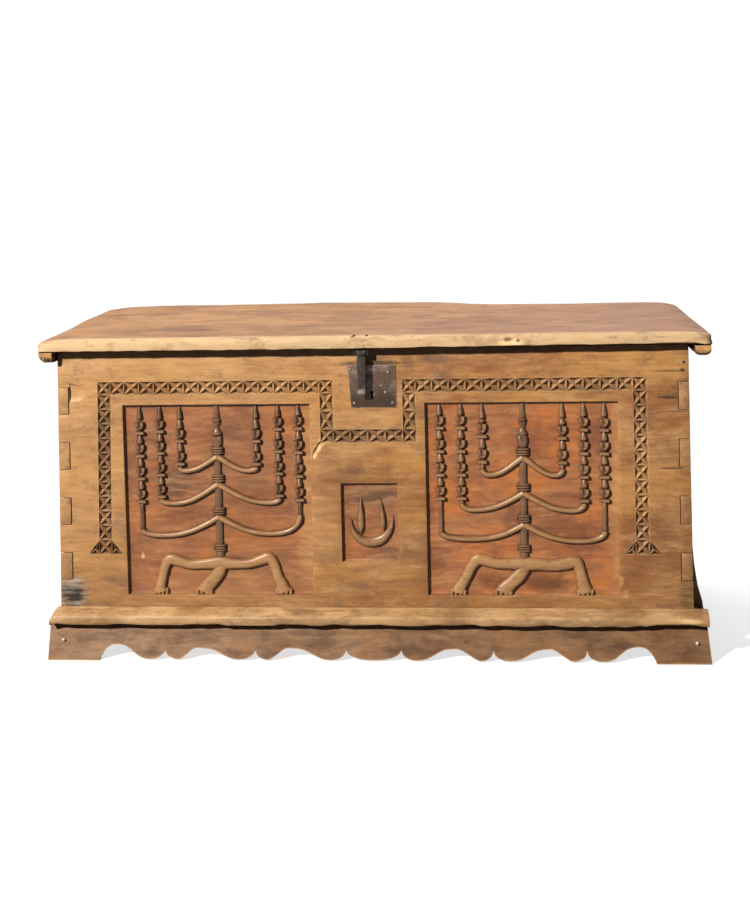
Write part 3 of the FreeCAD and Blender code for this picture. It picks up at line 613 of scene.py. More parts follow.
def carvedFront():
    bm = block((-insideX, frontLow.y, frontLow.z), (insideX, frontHigh.y, frontHigh.z))
    cutPins(bm)
    markOut(bm)
    for panel in panels.values():
        faces = [f for f in mainFront(bm) if within(f, panel["x"], panel["z"])]
        bmesh.ops.inset_region(bm, faces=faces, thickness=panelSlope * mm, depth=-panel["depth"] * mm,
                               use_even_offset=True, use_boundary=True)
        for f in faces:
            f.material_index = 1
    softenEdges(bm, arris * mm)
    gougeGrounds(bm)
    sinkHollows(bm)
    sunk = [f for f in mainFront(bm)
            if underChip(f) or any(within(f, strip[:2], strip[2:4]) for strip in bandStrips())]
    drawOut(bm, sunk, (0, band["sunk"] * mm, 0))
    pocket = [f for f in mainFront(bm) if within(f, lockPocket["x"], lockPocket["z"])]
    drawOut(bm, pocket, (0, lockPocket["depth"] * mm, 0))
    for f in bm.faces:
        if abs(f.normal.x) > 0.9 and abs(f.calc_center_median().x) > insideX:
            f.material_index = 2
    slantBand(bm)
    leanOut(bm)
    makePiece("frontBoardCarved", bm, "carcass", "carved_wood", [frontWood, groundWood, endWood],
              smooth=35, replaced=["front_board"])


def chipBand():
    bm = bmesh.new()
    floorY = faceY + band["sunk"] * mm
    for x0, x1, z0, z1, along, up in bandStrips():
        centre = Vector(((x0 + x1) / 2 * mm, floorY, (z0 + z1) / 2 * mm))
        size = Matrix.Diagonal(((x1 - x0) * mm, (z1 - z0) * mm, 1.0, 1.0))
        place = Matrix.Translation(centre) @ Matrix.Rotation(math.radians(90), 4, "X") @ size
        bmesh.ops.create_grid(bm, x_segments=along, y_segments=up, size=0.5, matrix=place)
    for chip in footChips():
        bm.faces.new([bm.verts.new((x * mm, floorY, z * mm)) for x, z in chip])
    for face in bm.faces:
        face.normal_update()
        if face.normal.y > 0:
            face.normal_flip()
    bm.normal_update()
    made = bmesh.ops.extrude_face_region(bm, geom=list(bm.faces))["geom"]
    bmesh.ops.translate(bm, verts=[g for g in made if isinstance(g, bmesh.types.BMVert)],
                        vec=(0, -band["sunk"] * mm, 0))
    bm.normal_update()
    cells = [g for g in made if isinstance(g, bmesh.types.BMFace)]
    # each square gets a cross, and each of its four corners a sunk chip
    quarters = bmesh.ops.poke(bm, faces=cells, offset=0.0, center_mode="MEAN")["faces"]
    bmesh.ops.inset_individual(bm, faces=quarters, thickness=band["land"] * mm, use_even_offset=True)
    bmesh.ops.poke(bm, faces=quarters, offset=-band["chip"] * mm, center_mode="MEAN")
    slantBand(bm)
    makePiece("chipBand", bm, "carcass", "carved_wood", [bandWood])


carvedFront()
chipBand()
print("front board and chip-carved band made")


# candlesticks and crescent, carved in relief on the panel grounds

groundY = faceY + panels["left"]["depth"] * mm
relief = {"top": 6.7, "stem": 0.6, "column": 0.96, "lip": 6.5, "lipHalf": 5.6, "sides": 16}
# outlines as (radius, height), the cup, ring and neck of a column as shares of their unit
unitShape = ((2.8, 0.0), (8.4, 0.008), (9.8, 0.03), (10.2, 0.08), (9.8, 0.16), (8.6, 0.25), (6.2, 0.33),
             (3.4, 0.39), (3.2, 0.42), (9.6, 0.44), (10.8, 0.47), (10.8, 0.53), (9.6, 0.56), (3.6, 0.58),
             (4.6, 0.64), (6.4, 0.76), (7.0, 0.86), (6.4, 0.93), (3.2, 0.96))
cupHollow = (0.27, 0.005)
lastShare = 0.58
flame = ((0.0, 1.0), (2.0, 0.96), (4.4, 0.62), (6.4, 0.2), (6.6, 0.08), (2.8, 0.0))
stemTop = ((0.0, 30), (4.2, 29), (6.4, 4), (5.0, 3), (8.0, 2), (8.4, -2), (4.5, -3), (8.0, -5), (5.0, -12),
           (4.6, -15), (8.0, -22), (9.5, -23), (9.8, -27), (6.0, -28), (10.0, -30), (11.0, -36), (10.2, -44),
           (7.6, -50), (6.5, -51))
stemCup = (-36, -28)
stemRings = {"above": (16, 11.5, 7), "underLast": 12,
             "shape": ((7.0, 2.2), (12.4, 1.6), (13.0, 0.0), (12.4, -1.6), (7.0, -2.2))}
stemWaist = ((8.4, 3), (8.4, -3), (7.2, -8))
stemFoot = ((7.5, 178), (0.0, 172))
# columns as (offset, rim of the first cup, last ring, cups, foot), arms as (dip, end), legs as stations
sticks = {
    "Left": {
        "panel": "left", "x": -279, "top": 436, "roots": (369, 318, 258), "lastRing": 202,
        "columns": ((-142, 434, 287, 4, 234), (-105, 436, 296, 4, 286), (-68, 419, 356, 2, 345),
                    (72, 418, 355, 2, 345), (112, 439, 297, 4, 287), (149, 441, 289, 4, 246)),
        "arms": (((-60, 343), (-69, 350)), ((-82, 283), (-106, 291)), ((-104, 224), (-142, 235)),
                 ((57, 343), (72, 350)), ((92, 284), (112, 292)), ((98, 227), (149, 262))),
        "legs": (((-111, 119.5, 13), (-112, 125, 11.5), (-111, 134, 9.5), (-107, 150, 8.8), (-102, 168, 9.5),
                  (-94, 179, 10.5), (-80, 177, 10), (-55, 170, 9), (-28, 171, 9.5), (0, 173, 12),
                  (28, 171, 9), (54, 172, 8.5), (77, 179, 10), (90, 182, 10.5), (99, 170, 9.5),
                  (105, 150, 9.5), (111, 136, 11), (114, 126, 13), (116, 119.5, 15)),
                 ((6, 178, 6), (5, 170, 9), (-4, 154, 12), (-17, 138, 12), (-27, 127, 13),
                  (-31, 119.5, 15))),
    },
    "Right": {
        "panel": "right", "x": 273, "top": 433, "roots": (364, 300, 243), "lastRing": 201,
        "columns": ((-148, 440, 291, 4, 226), (-110, 440, 291, 4, 277), (-72, 426, 357, 2, 340),
                    (70, 421, 355, 2, 340), (108, 435, 286, 4, 276), (144, 434, 286, 4, 225)),
        "arms": (((-60, 333), (-72, 343)), ((-87, 270), (-110, 282)), ((-95, 217), (-147, 229)),
                 ((57, 332), (70, 343)), ((86, 268), (108, 281)), ((101, 213), (144, 231))),
        "legs": (((-119, 119.5, 14), (-117, 125, 12.5), (-112, 134, 10), (-104, 148, 9.5), (-95, 166, 9.5),
                  (-84, 179, 10.5), (-72, 178, 10), (-50, 172, 9), (-26, 171, 9.5), (0, 171, 12),
                  (28, 170, 10.5), (52, 168.5, 10.5), (76, 172, 11), (92, 175, 11), (98, 162, 10),
                  (102, 146, 10), (105, 133, 11.5), (107, 125, 13), (108, 119.5, 14)),
                 ((5, 176, 6), (4, 168, 9), (-8, 152, 12), (-22, 138, 12), (-34, 127, 13),
                  (-38, 119.5, 15))),
    },
}
arm = {"half": 6.6, "thinner": 0.7, "rise": 7.2, "sides": 14, "slope": (0.87, -0.5), "pull": 0.42,
       "hook": 0.75}
legs = {"rise": 8.3, "wider": 1.1, "sides": 14, "flat": 0.86, "middle": 0.845}
toes = {"count": 4, "high": 9.0, "wide": 0.35, "drop": 0.5, "rise": 7.0, "spread": 0.84}
crescent = {"rise": 5.5,
            "arc": ((-38, 253, 1.5), (-36, 238, 4), (-30, 225, 6.5), (-18, 214, 8.5), (0, 211, 9.5),
                    (17, 216, 9), (29, 228, 7), (36, 243, 4.5), (38, 259, 1.5)),
            "spikes": (((-20, 226, 2), (-20, 240, 6.5), (-20, 256, 7), (-19.5, 275, 4.5), (-19, 293, 0.8)),
                       ((21, 233, 2), (20.5, 245, 5), (19.5, 258, 5.5), (18, 276, 3.5), (16, 293, 0.8)))}


def smoothRun(stations, steps=4):
    # an even curve through the stations, width and all
    knots = [Vector(station) for station in stations]
    run = []
    for i in range(len(knots) - 1):
        before, after = knots[max(i - 1, 0)], knots[min(i + 2, len(knots) - 1)]
        one, two = knots[i], knots[i + 1]
        leave, arrive = one + (two - before) / 6, two - (after - one) / 6
        run += interpolate_bezier(one, leave, arrive, two, steps + 1)[:-1]
    return [tuple(knot) for knot in run + knots[-1:]]


def sweep(bm, stations, rise, sides, flat=1.0):
    # rings stood across the run of the stations (x, z, half width), bridged one to the next, flat in front
    points = [Vector((x * mm, groundY, z * mm)) for x, z, _ in stations]
    rings = []
    for i, point in enumerate(points):
        run = (points[min(i + 1, len(points) - 1)] - points[max(i - 1, 0)]).normalized()
        across = run.cross(Vector((0, 1, 0)))
        turn = Matrix((across, Vector((0, 1, 0)), run)).transposed().to_4x4()
        half = stations[i][2] * mm
        size = Matrix.Diagonal((half, min(half * 1.1, rise * mm), 1.0, 1.0))
        made = bmesh.ops.create_circle(bm, cap_ends=False, segments=sides, radius=1.0,
                                       matrix=Matrix.Translation(point) @ turn @ size)["verts"]
        for v in made:
            v.co.y = max(v.co.y, groundY - rise * flat * mm)
        rings.append(list({e for v in made for e in v.link_edges}))
    for one, two in zip(rings, rings[1:]):
        bmesh.ops.bridge_loops(bm, edges=one + two)
    for ring in (rings[0], rings[-1]):
        bmesh.ops.edgeloop_fill(bm, edges=ring)


def turned(bm, x, profile, notches, rise):
    # a turned outline spun right round and cut flat at the depth of the carving
    verts = [bm.verts.new(((x + r) * mm, groundY, z * mm)) for r, z in profile]
    edges = [bm.edges.new(pair) for pair in zip(verts, verts[1:])]
    before = set(bm.verts)
    bmesh.ops.spin(bm, geom=verts + edges, cent=(x * mm, groundY, 0), axis=(0, 0, 1), angle=math.tau,
                   steps=relief["sides"], use_merge=True)
    made = [v for v in bm.verts if v not in before] + verts
    for v in [v for v in made if v.is_valid]:
        if v.co.y < groundY and any(low * mm < v.co.z < high * mm for low, high in notches):
            # tulip cups are hollowed behind the lip
            v.co.y += relief["lip"] * mm * max(0.0, 1 - abs(v.co.x / mm - x) / relief["lipHalf"])
        v.co.y = groundY + max((v.co.y - groundY) * rise, -relief["top"] * mm)


def stemProfile(stick):
    profile = [(r, stick["top"] + z) for r, z in stemTop]
    for root in stick["roots"] + (stick["lastRing"] - stemRings["underLast"],):
        for above in stemRings["above"]:
            profile += [(r, root + above + z) for r, z in stemRings["shape"]]
        profile += [(r, root + z) for r, z in stemWaist]
    return profile + list(stemFoot)


def columnProfile(stick, rim, ring, cups, foot):
    # flame, then cup, ring and neck again and again, and last the plain shaft down to its arm
    tip = panels[stick["panel"]]["z"][1] - 1
    period = (rim - ring) / (cups - 0.5)
    base = max(rim, stick["top"]) + 2
    profile = [(r, base + share * (tip - base)) for r, share in flame]
    if base > rim + 8:
        # the short columns carry a neck between flame and first cup
        profile += [(3.6, base - 1), (5.6, base - 4), (7.0, rim + 6), (6.4, rim + 3), (3.4, rim + 1.5)]
    notches = []
    for n in range(cups):
        end = lastShare if n == cups - 1 else 1.0
        profile += [(r, rim - (n + share) * period) for r, share in unitShape if share <= end]
        notches.append([rim - (n + share) * period for share in cupHollow])
    profile += [(4.8, ring - 0.12 * period), (4.6, (ring + foot) / 2 - 3), (4.8, foot), (0, foot - 3)]
    return profile, notches


def arms(stick):
    for i, (dip, end) in enumerate(stick["arms"]):
        root, x = stick["roots"][i % 3], stick["x"]
        start = Vector((x, 0, root))
        low = Vector((x + dip[0], 0, dip[1]))
        tip = Vector((x + end[0], 0, end[1]))
        out, down = arm["slope"]
        slope = Vector((math.copysign(1, dip[0]) * out, 0, down)) * abs(dip[0]) * arm["pull"]
        flat = Vector((dip[0] * arm["pull"], 0, 0))
        hook = Vector(((tip.x - low.x) * arm["hook"], 0, 0))
        run = interpolate_bezier(start, start + slope, low - flat, low, 9)
        run += interpolate_bezier(low, low + hook, tip - Vector((0, 0, (tip.z - low.z) * 0.5)), tip, 7)[1:]
        yield [(p.x, p.z, arm["half"] - arm["thinner"] * math.sin(math.pi * n / len(run)))
               for n, p in enumerate(run)]


def tripod(bm, stick):
    # a bowed bar that stands on a foot at each end, and a middle leg under it, every foot with its toes
    x = stick["x"]
    for n, leg in enumerate(stick["legs"]):
        stations = [(x + dx, z, half * legs["wider"]) for dx, z, half in leg]
        sweep(bm, smoothRun(stations), legs["rise"], legs["sides"], legs["middle"] if n else legs["flat"])
        for footX, footZ, half in leg[-1:] if n else (leg[0], leg[-1]):
            size = Matrix.Diagonal((half * toes["wide"] * mm, toes["rise"] * mm, toes["high"] * mm, 1))
            for toe in range(toes["count"]):
                aside = (2 * toe / (toes["count"] - 1) - 1) * half * toes["spread"]
                place = ((x + footX + aside) * mm, groundY, (footZ - toes["drop"]) * mm)
                bmesh.ops.create_uvsphere(bm, u_segments=10, v_segments=8, radius=1.0,
                                          matrix=Matrix.Translation(place) @ size)


def candlestick(name, stick):
    bm = bmesh.new()
    cup = [stick["top"] + z for z in stemCup]
    turned(bm, stick["x"], stemProfile(stick), [cup], relief["stem"])
    stem = set(bm.faces)
    for offset, *heights in stick["columns"]:
        turned(bm, stick["x"] + offset, *columnProfile(stick, *heights), relief["column"])
    columns = set(bm.faces) - stem
    for run in arms(stick):
        sweep(bm, run, arm["rise"], arm["sides"])
    rounded = set(bm.faces)
    tripod(bm, stick)
    for face in bm.faces:
        face.material_index = 0 if face in columns else 3 if face in stem else 1 if face in rounded else 2
    bmesh.ops.remove_doubles(bm, verts=bm.verts, dist=0.005 * mm)
    bmesh.ops.recalc_face_normals(bm, faces=bm.faces)
    weather(bm, 9 * mm, 0.8 * mm)
    makePiece("candlestick" + name, bm, "carcass", "carved_wood", [columnWood, armWood, legWood, stemWood],
              smooth=38)


def crescentMotif():
    bm = bmesh.new()
    sweep(bm, smoothRun(crescent["arc"]), crescent["rise"], 12)
    for spike in crescent["spikes"]:
        sweep(bm, smoothRun(spike), crescent["rise"], 8)
    bmesh.ops.recalc_face_normals(bm, faces=bm.faces)
    makePiece("crescentMotif", bm, "carcass", "carved_wood", [armWood], smooth=50)


for name, stick in sticks.items():
    candlestick(name, stick)
crescentMotif()
print("relief carving made")


# case, base and lid boards, each from a copy of its construction shape

caseBoards = {
    "endBoardLeft": {"node": "end_board_left", "grain": 1, "wood": caseWood, "slot": "case_wood"},
    "endBoardRight": {"node": "end_board_right", "grain": 1, "wood": caseWood, "slot": "case_wood"},
    "backBoard": {"node": "back_board", "grain": 0, "wood": backWood, "slot": "case_wood"},
    "bottomPlank1": {"node": "bottom_plank_1", "grain": 0, "wood": bareWood, "slot": "inside_wood"},
    "bottomPlank2": {"node": "bottom_plank_2", "grain": 0, "wood": bareWood, "slot": "inside_wood"},
    "bottomPlank3": {"node": "bottom_plank_3", "grain": 0, "wood": bareWood, "slot": "inside_wood"},
    "rearRail": {"node": "plinth_back", "grain": 0, "wood": bareWood, "slot": "inside_wood"},
}
for name, board in caseBoards.items():
    bm = nodeCopy(board["node"])
    softenEdges(bm, arris * mm)
    endGrain(bm, board["grain"])
    if board["slot"] == "case_wood":
        leanOut(bm)
    makePiece(name, bm, "carcass", board["slot"], [board["wood"], endWood], smooth=35,
              replaced=[board["node"]])

plinths = {
    "plinthFront": {"node": "plinth_front", "axis": 0, "wood": plinthWood},
    "plinthEndLeft": {"node": "plinth_end_left", "axis": 1, "wood": plinthSideWood},
    "plinthEndRight": {"node": "plinth_end_right", "axis": 1, "wood": plinthSideWood},
}
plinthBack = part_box("plinth_front")[1].y + 3 * mm
plinthLean = {"top": 10, "foot": 13}
plinthSplay = {"from": 560, "left": 5.5, "right": 1, "rightFoot": 5}
# arches as (x, half width, drop, shift), fading out towards the foot and the top edge
arches = ((-315, 60, 6.0, -9), (-148, 60, 5.5, -8), (148, 60, 5.5, 1), (315, 60, 5.0, 2))
archFade = {"foot": 27, "top": 35}
baseWear = {"step": 14, "row": 10, "size": 60, "depth": 1.0, "topArris": 3}


def cutLengthwise(bm, axis, low, high):
    steps = int((high[axis] - low[axis]) / (baseWear["step"] * mm))
    cutAt(bm, axis, [low[axis] + (n + 0.5) * baseWear["step"] * mm for n in range(steps)])


def sawArches(v, top):
    # arches sawn by eye: the inner four lower, two of them drawn to the left
    for x, half, drop, shift in arches:
        near = max(0.0, 1 - abs(v.co.x / mm - x) / half)
        free = max(0.0, min(v.co.z / (archFade["foot"] * mm), (top - v.co.z) / (archFade["top"] * mm)))
        part = near * near * (3 - 2 * near) * free
        v.co.x += shift * part * mm
        v.co.z -= drop * part * mm


def plinthBoard(name, board):
    bm = nodeCopy(board["node"])
    low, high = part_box(board["node"])
    softenEdges(bm, baseWear["topArris"] * mm, 2, 60,
                lambda e: min(v.co.z for v in e.verts) > high.z - 0.1 * mm)
    softenEdges(bm, arris * mm)
    cutLengthwise(bm, board["axis"], low, high)
    cutAt(bm, 2, [n * baseWear["row"] * mm for n in range(1, 6)])
    weather(bm, baseWear["size"] * mm, baseWear["depth"] * mm)
    for v in bm.verts:
        down = 1 - (v.co.z - low.z) / (high.z - low.z)
        if name == "plinthFront":
            sawArches(v, high.z)
        # the front plinth leans out at its foot, and the end plinths reach up to it
        if v.co.y < plinthBack:
            v.co.y += (plinthLean["top"] * (1 - down) - plinthLean["foot"] * down) * mm
        if name == "plinthFront" and v.co.x > plinthSplay["from"] * mm:
            v.co.x += (plinthSplay["right"] + plinthSplay["rightFoot"] * down) * mm
        elif name == "plinthFront" and v.co.x < -plinthSplay["from"] * mm:
            v.co.x -= plinthSplay["left"] * mm
    makePiece(name, bm, "carcass", "base_wood", [board["wood"]], smooth=35, replaced=[board["node"]])


mouldings = {
    "mouldingFront": {"node": "moulding_front", "axis": 0, "wood": mouldingWood},
    "mouldingEndLeft": {"node": "moulding_end_left", "axis": 1, "wood": mouldingSideWood},
    "mouldingEndRight": {"node": "moulding_end_right", "axis": 1, "wood": mouldingSideWood},
}
wornEnd = {"reach": 14, "drop": 15, "cuts": (3, 10, 14)}
brokenLip = {"high": 12, "all": 2.8, "bite": 4, "x": 535, "half": 60, "rise": 5}


def mouldingBoard(name, board):
    bm = nodeCopy(board["node"])
    low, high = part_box(board["node"])
    axis = board["axis"]
    softenEdges(bm, arris * mm)
    cutLengthwise(bm, axis, low, high)
    cutAt(bm, axis, [low[axis] + n * mm for n in wornEnd["cuts"]])
    weather(bm, baseWear["size"] * mm, baseWear["depth"] * mm)
    for v in bm.verts:
        # lower lip broken away by wear, most of all near the right end
        lip = max(0.0, 1 - (v.co.z - low.z) / (brokenLip["high"] * mm))
        bite = max(0.0, noise.noise(v.co / (38 * mm)) + 0.5 * noise.noise(v.co / (11 * mm)) + 0.1)
        gone = max(0.0, 1 - abs(v.co.x / mm - brokenLip["x"]) / brokenLip["half"])
        v.co.z += (brokenLip["all"] + brokenLip["bite"] * min(bite, 0.9)
                   + brokenLip["rise"] * min(1.0, 2 * gone)) * mm * lip
        if name == "mouldingFront":
            # left end rounded off from above
            away = max(0.0, 1 - (v.co.x - low.x) / (wornEnd["reach"] * mm)) ** 1.6
            v.co.z -= wornEnd["drop"] * mm * away * (v.co.z - low.z) / (high.z - low.z)
    makePiece(name, bm, "carcass", "base_wood", [board["wood"]], smooth=35, replaced=[board["node"]])


for name, board in plinths.items():
    plinthBoard(name, board)
for name, board in mouldings.items():
    mouldingBoard(name, board)

endCoves = {"Left": {"side": -1, "high": 24, "wide": 16, "front": 1.5, "wood": mouldingSideWood},
            "Right": {"side": 1, "high": 132, "wide": 20, "front": 26, "wood": caseWood}}
cove = {"sunk": 10, "back": 1.5,
        "outline": ((0, 0), (1, 0), (0.9, 0.12), (0.5, 0.34), (0.22, 0.62), (0.08, 0.88), (0, 1))}


def endCove(name, end):
    # hollow fillet in the corner between an end board and its moulding
    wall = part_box("end_board_" + name.lower())[end["side"] > 0].x
    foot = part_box("moulding_end_" + name.lower())[1].z - cove["sunk"] * mm
    near = faceY + end["front"] * mm
    bm = bmesh.new()
    verts = [bm.verts.new((wall + end["side"] * out * end["wide"] * mm, near, foot + up * end["high"] * mm))
             for out, up in cove["outline"]]
    made = bmesh.ops.extrude_face_region(bm, geom=[bm.faces.new(verts)])["geom"]
    bmesh.ops.translate(bm, verts=[g for g in made if isinstance(g, bmesh.types.BMVert)],
                        vec=(0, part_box("back_board")[1].y - cove["back"] * mm - near, 0))
    bmesh.ops.recalc_face_normals(bm, faces=bm.faces)
    makePiece("endCove" + name, bm, "carcass", "base_wood", [end["wood"]], smooth=40)


for name, end in endCoves.items():
    endCove(name, end)

lid = {"thick": 25, "lift": 0.4, "arris": 11, "endArris": 0.55, "lowArris": 2.5, "flatTo": -70, "under": 3,
       "corners": ((-1, -1, 14), (1, -1, 16), (-1, 1, 46), (1, 1, 40)),
       "rise": ((-605, 9), (-540, 12), (-480, 13.5), (80, 14), (130, 11.5), (175, 8), (225, 5.6), (540, 5),
                (606, 4)),
       "nose": {"reach": 70, "short": 6, "low": 7, "from": 60, "over": 330},
       "rightEnd": {"reach": 45, "low": 5},
       "cuts": {"end": (12, 17, 24, 32), "along": 20, "across": 30, "middle": 13}}
lidLow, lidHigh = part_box("lid_board")
lidTop = lidLow.z + lid["thick"] * mm


def lidRise(x):
    # how far the back edge stands up, bowed over the left part and nearly level to the right
    for (x0, rise0), (x1, rise1) in zip(lid["rise"], lid["rise"][1:]):
        if x <= x1 * mm:
            return (rise0 + (rise1 - rise0) * (x / mm - x0) / (x1 - x0)) * mm
    return rise1 * mm


def nose(co):
    # wear of the left end, strongest at the front
    wear = lid["nose"]
    near = max(0.0, 1 - (co.x - lidLow.x) / (wear["reach"] * mm))
    return near ** 2 * min(1.0, max(0.0, (wear["from"] * mm - co.y) / (wear["over"] * mm)))


def lidBlank():
    # a plain board, its corners rounded in plan by use and its arrises eased
    bm = block((lidLow.x, lidLow.y, lidLow.z + lid["lift"] * mm), (lidHigh.x, lidHigh.y, lidTop))
    for side, back, radius in lid["corners"]:
        cornerX = lidHigh.x if side > 0 else lidLow.x
        cornerY = lidHigh.y if back > 0 else lidLow.y
        upright = [e for e in bm.edges if abs(e.verts[0].co.z - e.verts[1].co.z) > 5 * mm
                   and abs(e.verts[0].co.x - cornerX) < 0.1 * mm
                   and abs(e.verts[0].co.y - cornerY) < 0.1 * mm]
        bmesh.ops.bevel(bm, geom=upright, offset=radius * mm, offset_type="OFFSET", segments=5, profile=0.5,
                        affect="EDGES", material=-1)
    softenEdges(bm, lid["arris"] * mm, 6, 60, lambda e: min(v.co.z for v in e.verts) > lidTop - 1 * mm)
    softenEdges(bm, lid["lowArris"] * mm, 2, 60, lambda e: max(v.co.z for v in e.verts) < lidLow.z + 1 * mm)
    return bm


def sharpenEnds(bm):
    # the ends are worn less than the front, so their arris is smaller
    for v in bm.verts:
        inward, under = lidHigh.x - abs(v.co.x), lidTop - v.co.z
        if max(inward, under) < (lid["arris"] + 0.5) * mm:
            straight = min((v.co.y - lidLow.y) / (12 * mm) - 0.33, (lidHigh.y - v.co.y) / (30 * mm) - 0.53)
            less = lid["endArris"] * min(1.0, max(0.0, straight))
            v.co.x += math.copysign(1, v.co.x) * inward * less
            v.co.z += under * less


def wearLid(bm):
    flatUnder = lidLow.z + lid["under"] * mm
    weather(bm, 170 * mm, 2.0 * mm, lambda co: co.z > flatUnder)
    weather(bm, 34 * mm, 0.9 * mm, lambda co: co.z > flatUnder)
    for v in bm.verts:
        share = (v.co.z - lidLow.z) / (lidTop - lidLow.z)
        back = max(0.0, (v.co.y / mm - lid["flatTo"]) / (lidHigh.y / mm - lid["flatTo"]))
        rightEnd = max(0.0, 1 - (lidHigh.x - v.co.x) / (lid["rightEnd"]["reach"] * mm)) ** 2
        if v.co.z > flatUnder:
            v.co.z += (lidRise(v.co.x) * back ** 1.2 - rightEnd * lid["rightEnd"]["low"] * mm
                       - nose(v.co) * lid["nose"]["low"] * mm) * share
        elif v.co.y < lidLow.y + 6 * mm:
            # lower front arris chipped away, more towards the right
            chip = 1.5 + 1.5 * noise.noise(v.co / (25 * mm)) + 3.5 * max(0.0, v.co.x / lidHigh.x)
            chip *= min(1.0, max(0.3, (596 * mm - v.co.x) / (20 * mm)))
            v.co.z += max(0.0, chip) * mm
        v.co.x += nose(v.co) * lid["nose"]["short"] * mm


def lidBoard():
    bm = lidBlank()
    sharpenEnds(bm)
    cuts = lid["cuts"]
    cutAt(bm, 0, [lidLow.x + n * mm for n in cuts["end"]]
          + [lidLow.x + n * cuts["along"] * mm for n in range(2, 60)])
    cutAt(bm, 1, [lidLow.y + n * cuts["across"] * mm for n in range(1, 18)])
    cutAt(bm, 2, [lidLow.z + cuts["middle"] * mm])
    wearLid(bm)
    endGrain(bm, 0)
    for face in bm.faces:
        if face.normal.z < -0.9:
            face.material_index = 2
    makePiece("lidBoard", bm, "lid", "lid_wood", [lidWood, endWood, bareWood], smooth=40,
              replaced=["lid_board"])


cleat = {"arris": 8, "across": 8, "along": 30, "leftIn": 2, "leftUnder": 10, "rightIn": 3, "rightRound": 6,
         "front": 12, "short": 4}


def lidCleat(side):
    node = "lid_cleat_" + side
    bm = nodeCopy(node)
    low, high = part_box(node)
    softenEdges(bm, cleat["arris"] * mm, 4, 60, lambda e: max(v.co.z for v in e.verts) < low.z + 1 * mm)
    cutAt(bm, 0, [low.x + n * (high.x - low.x) / cleat["across"] for n in range(1, cleat["across"])])
    cutAt(bm, 1, [low.y + n * cleat["along"] * mm for n in range(1, 17)])
    weather(bm, 50 * mm, 0.8 * mm, lambda co: co.z < high.z - 2 * mm)
    for v in bm.verts:
        under = (high.z - v.co.z) / (high.z - low.z)
        if side == "left":
            v.co.x += nose(v.co) * lid["nose"]["short"] * mm
            if v.co.x < (low.x + high.x) / 2:
                v.co.x += (cleat["leftIn"] + cleat["leftUnder"] * under ** 2) * mm
        else:
            across = (v.co.x - low.x) / (high.x - low.x)
            v.co.z += cleat["rightRound"] * mm * under * abs(2 * across - 1) ** 4
            v.co.x -= cleat["rightIn"] * mm * across
        # the cleats run on to the front edge
        if v.co.y < low.y + cleat["front"] * mm:
            v.co.y += lidLow.y + cleat["short"] * mm - low.y
    endGrain(bm, 1)
    makePiece("lidCleat" + side.title(), bm, "lid", "lid_wood", [cleatWood, cleatEndWood],
              smooth=35, replaced=[node])


lidBoard()
for side in ("left", "right"):
    lidCleat(side)
print("boards and lid made")


# ironwork

ironPieces = {"lockPlate": ("lock_plate", "carcass", 0.9, plateIron), "hasp": ("hasp", "hasp", 0.7, iron),
              "haspStaple": ("hasp_staple", "lid", 0.6, stapleIron)}
plateDents = {"step": 4, "size": 11, "depth": 0.9, "face": 0.6}
haspTop = {"x": -11, "from": 548, "over": 10, "bar": 0.82, "wider": 0.6, "taller": 2.6}


def hammerPlate(bm):
    # dents of the hammer over the whole face
    low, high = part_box("lock_plate")
    step = plateDents["step"] * mm
    for axis in (0, 2):
        cutAt(bm, axis, [low[axis] + n * step for n in range(1, int((high[axis] - low[axis]) / step))])
    weather(bm, plateDents["size"] * mm, plateDents["depth"] * mm,
            lambda co: co.y < low.y + plateDents["face"] * mm)


def shapeHasp(bm):
    # the bar is drawn narrower, and its eye broader and taller, up under the lid
    middle = haspTop["x"] * mm
    for v in bm.verts:
        rise = min(1.0, max(0.0, (v.co.z - haspTop["from"] * mm) / (haspTop["over"] * mm)))
        v.co.x = middle + (v.co.x - middle) * (haspTop["bar"] + haspTop["wider"] * rise)
        v.co.z += haspTop["taller"] * mm * rise


for name, (node, body, soft, skin) in ironPieces.items():
    bm = nodeCopy(node)
    softenEdges(bm, soft * mm)
    if name == "lockPlate":
        hammerPlate(bm)
    if name == "hasp":
        shapeHasp(bm)
    makePiece(name + "Forged", bm, body, "iron", [skin], smooth=40, replaced=[node])


def nails(name, places, body, skin=iron):
    # flat forged heads, each knocked a little out of round, their places as (x, y, z, radius)
    bm = bmesh.new()
    for x, y, z, r in places:
        knock = 1 + 0.15 * noise.noise(Vector((x, y, z)) * 0.13)
        size = Matrix.Diagonal((r * knock * mm, r * 0.5 * mm, r / knock * mm, 1))
        bmesh.ops.create_uvsphere(bm, u_segments=12, v_segments=8, radius=1.0,
                                  matrix=Matrix.Translation((x * mm, y * mm, z * mm)) @ size)
    makePiece(name, bm, body, "iron", [skin], smooth=60)


plateY = faceY / mm - 2
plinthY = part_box("plinth_front")[0].y / mm - 3.0
plateNails = ((-32, 527, 2.6), (36, 521, 2.8), (-26, 466, 2.6), (43, 466, 2.8), (23, 497, 2.2),
              (30, 485, 2.4))
nails("lockPlateNails", [(x, plateY, z, r) for x, z, r in plateNails], "carcass", nailIron)
nails("frontNail", [(556, faceY / mm, 534, 3.0)], "carcass")
nails("plinthNails", [(-571, plinthY, 35, 3.2), (574, plinthY, 35, 3.2)], "carcass", glintRubbedIron)
nails("lidNail", [(267, lidLow.y / mm + 1.8, 578, 3.4)], "lid", nailIron)
print("ironwork made")


# floor, light and camera

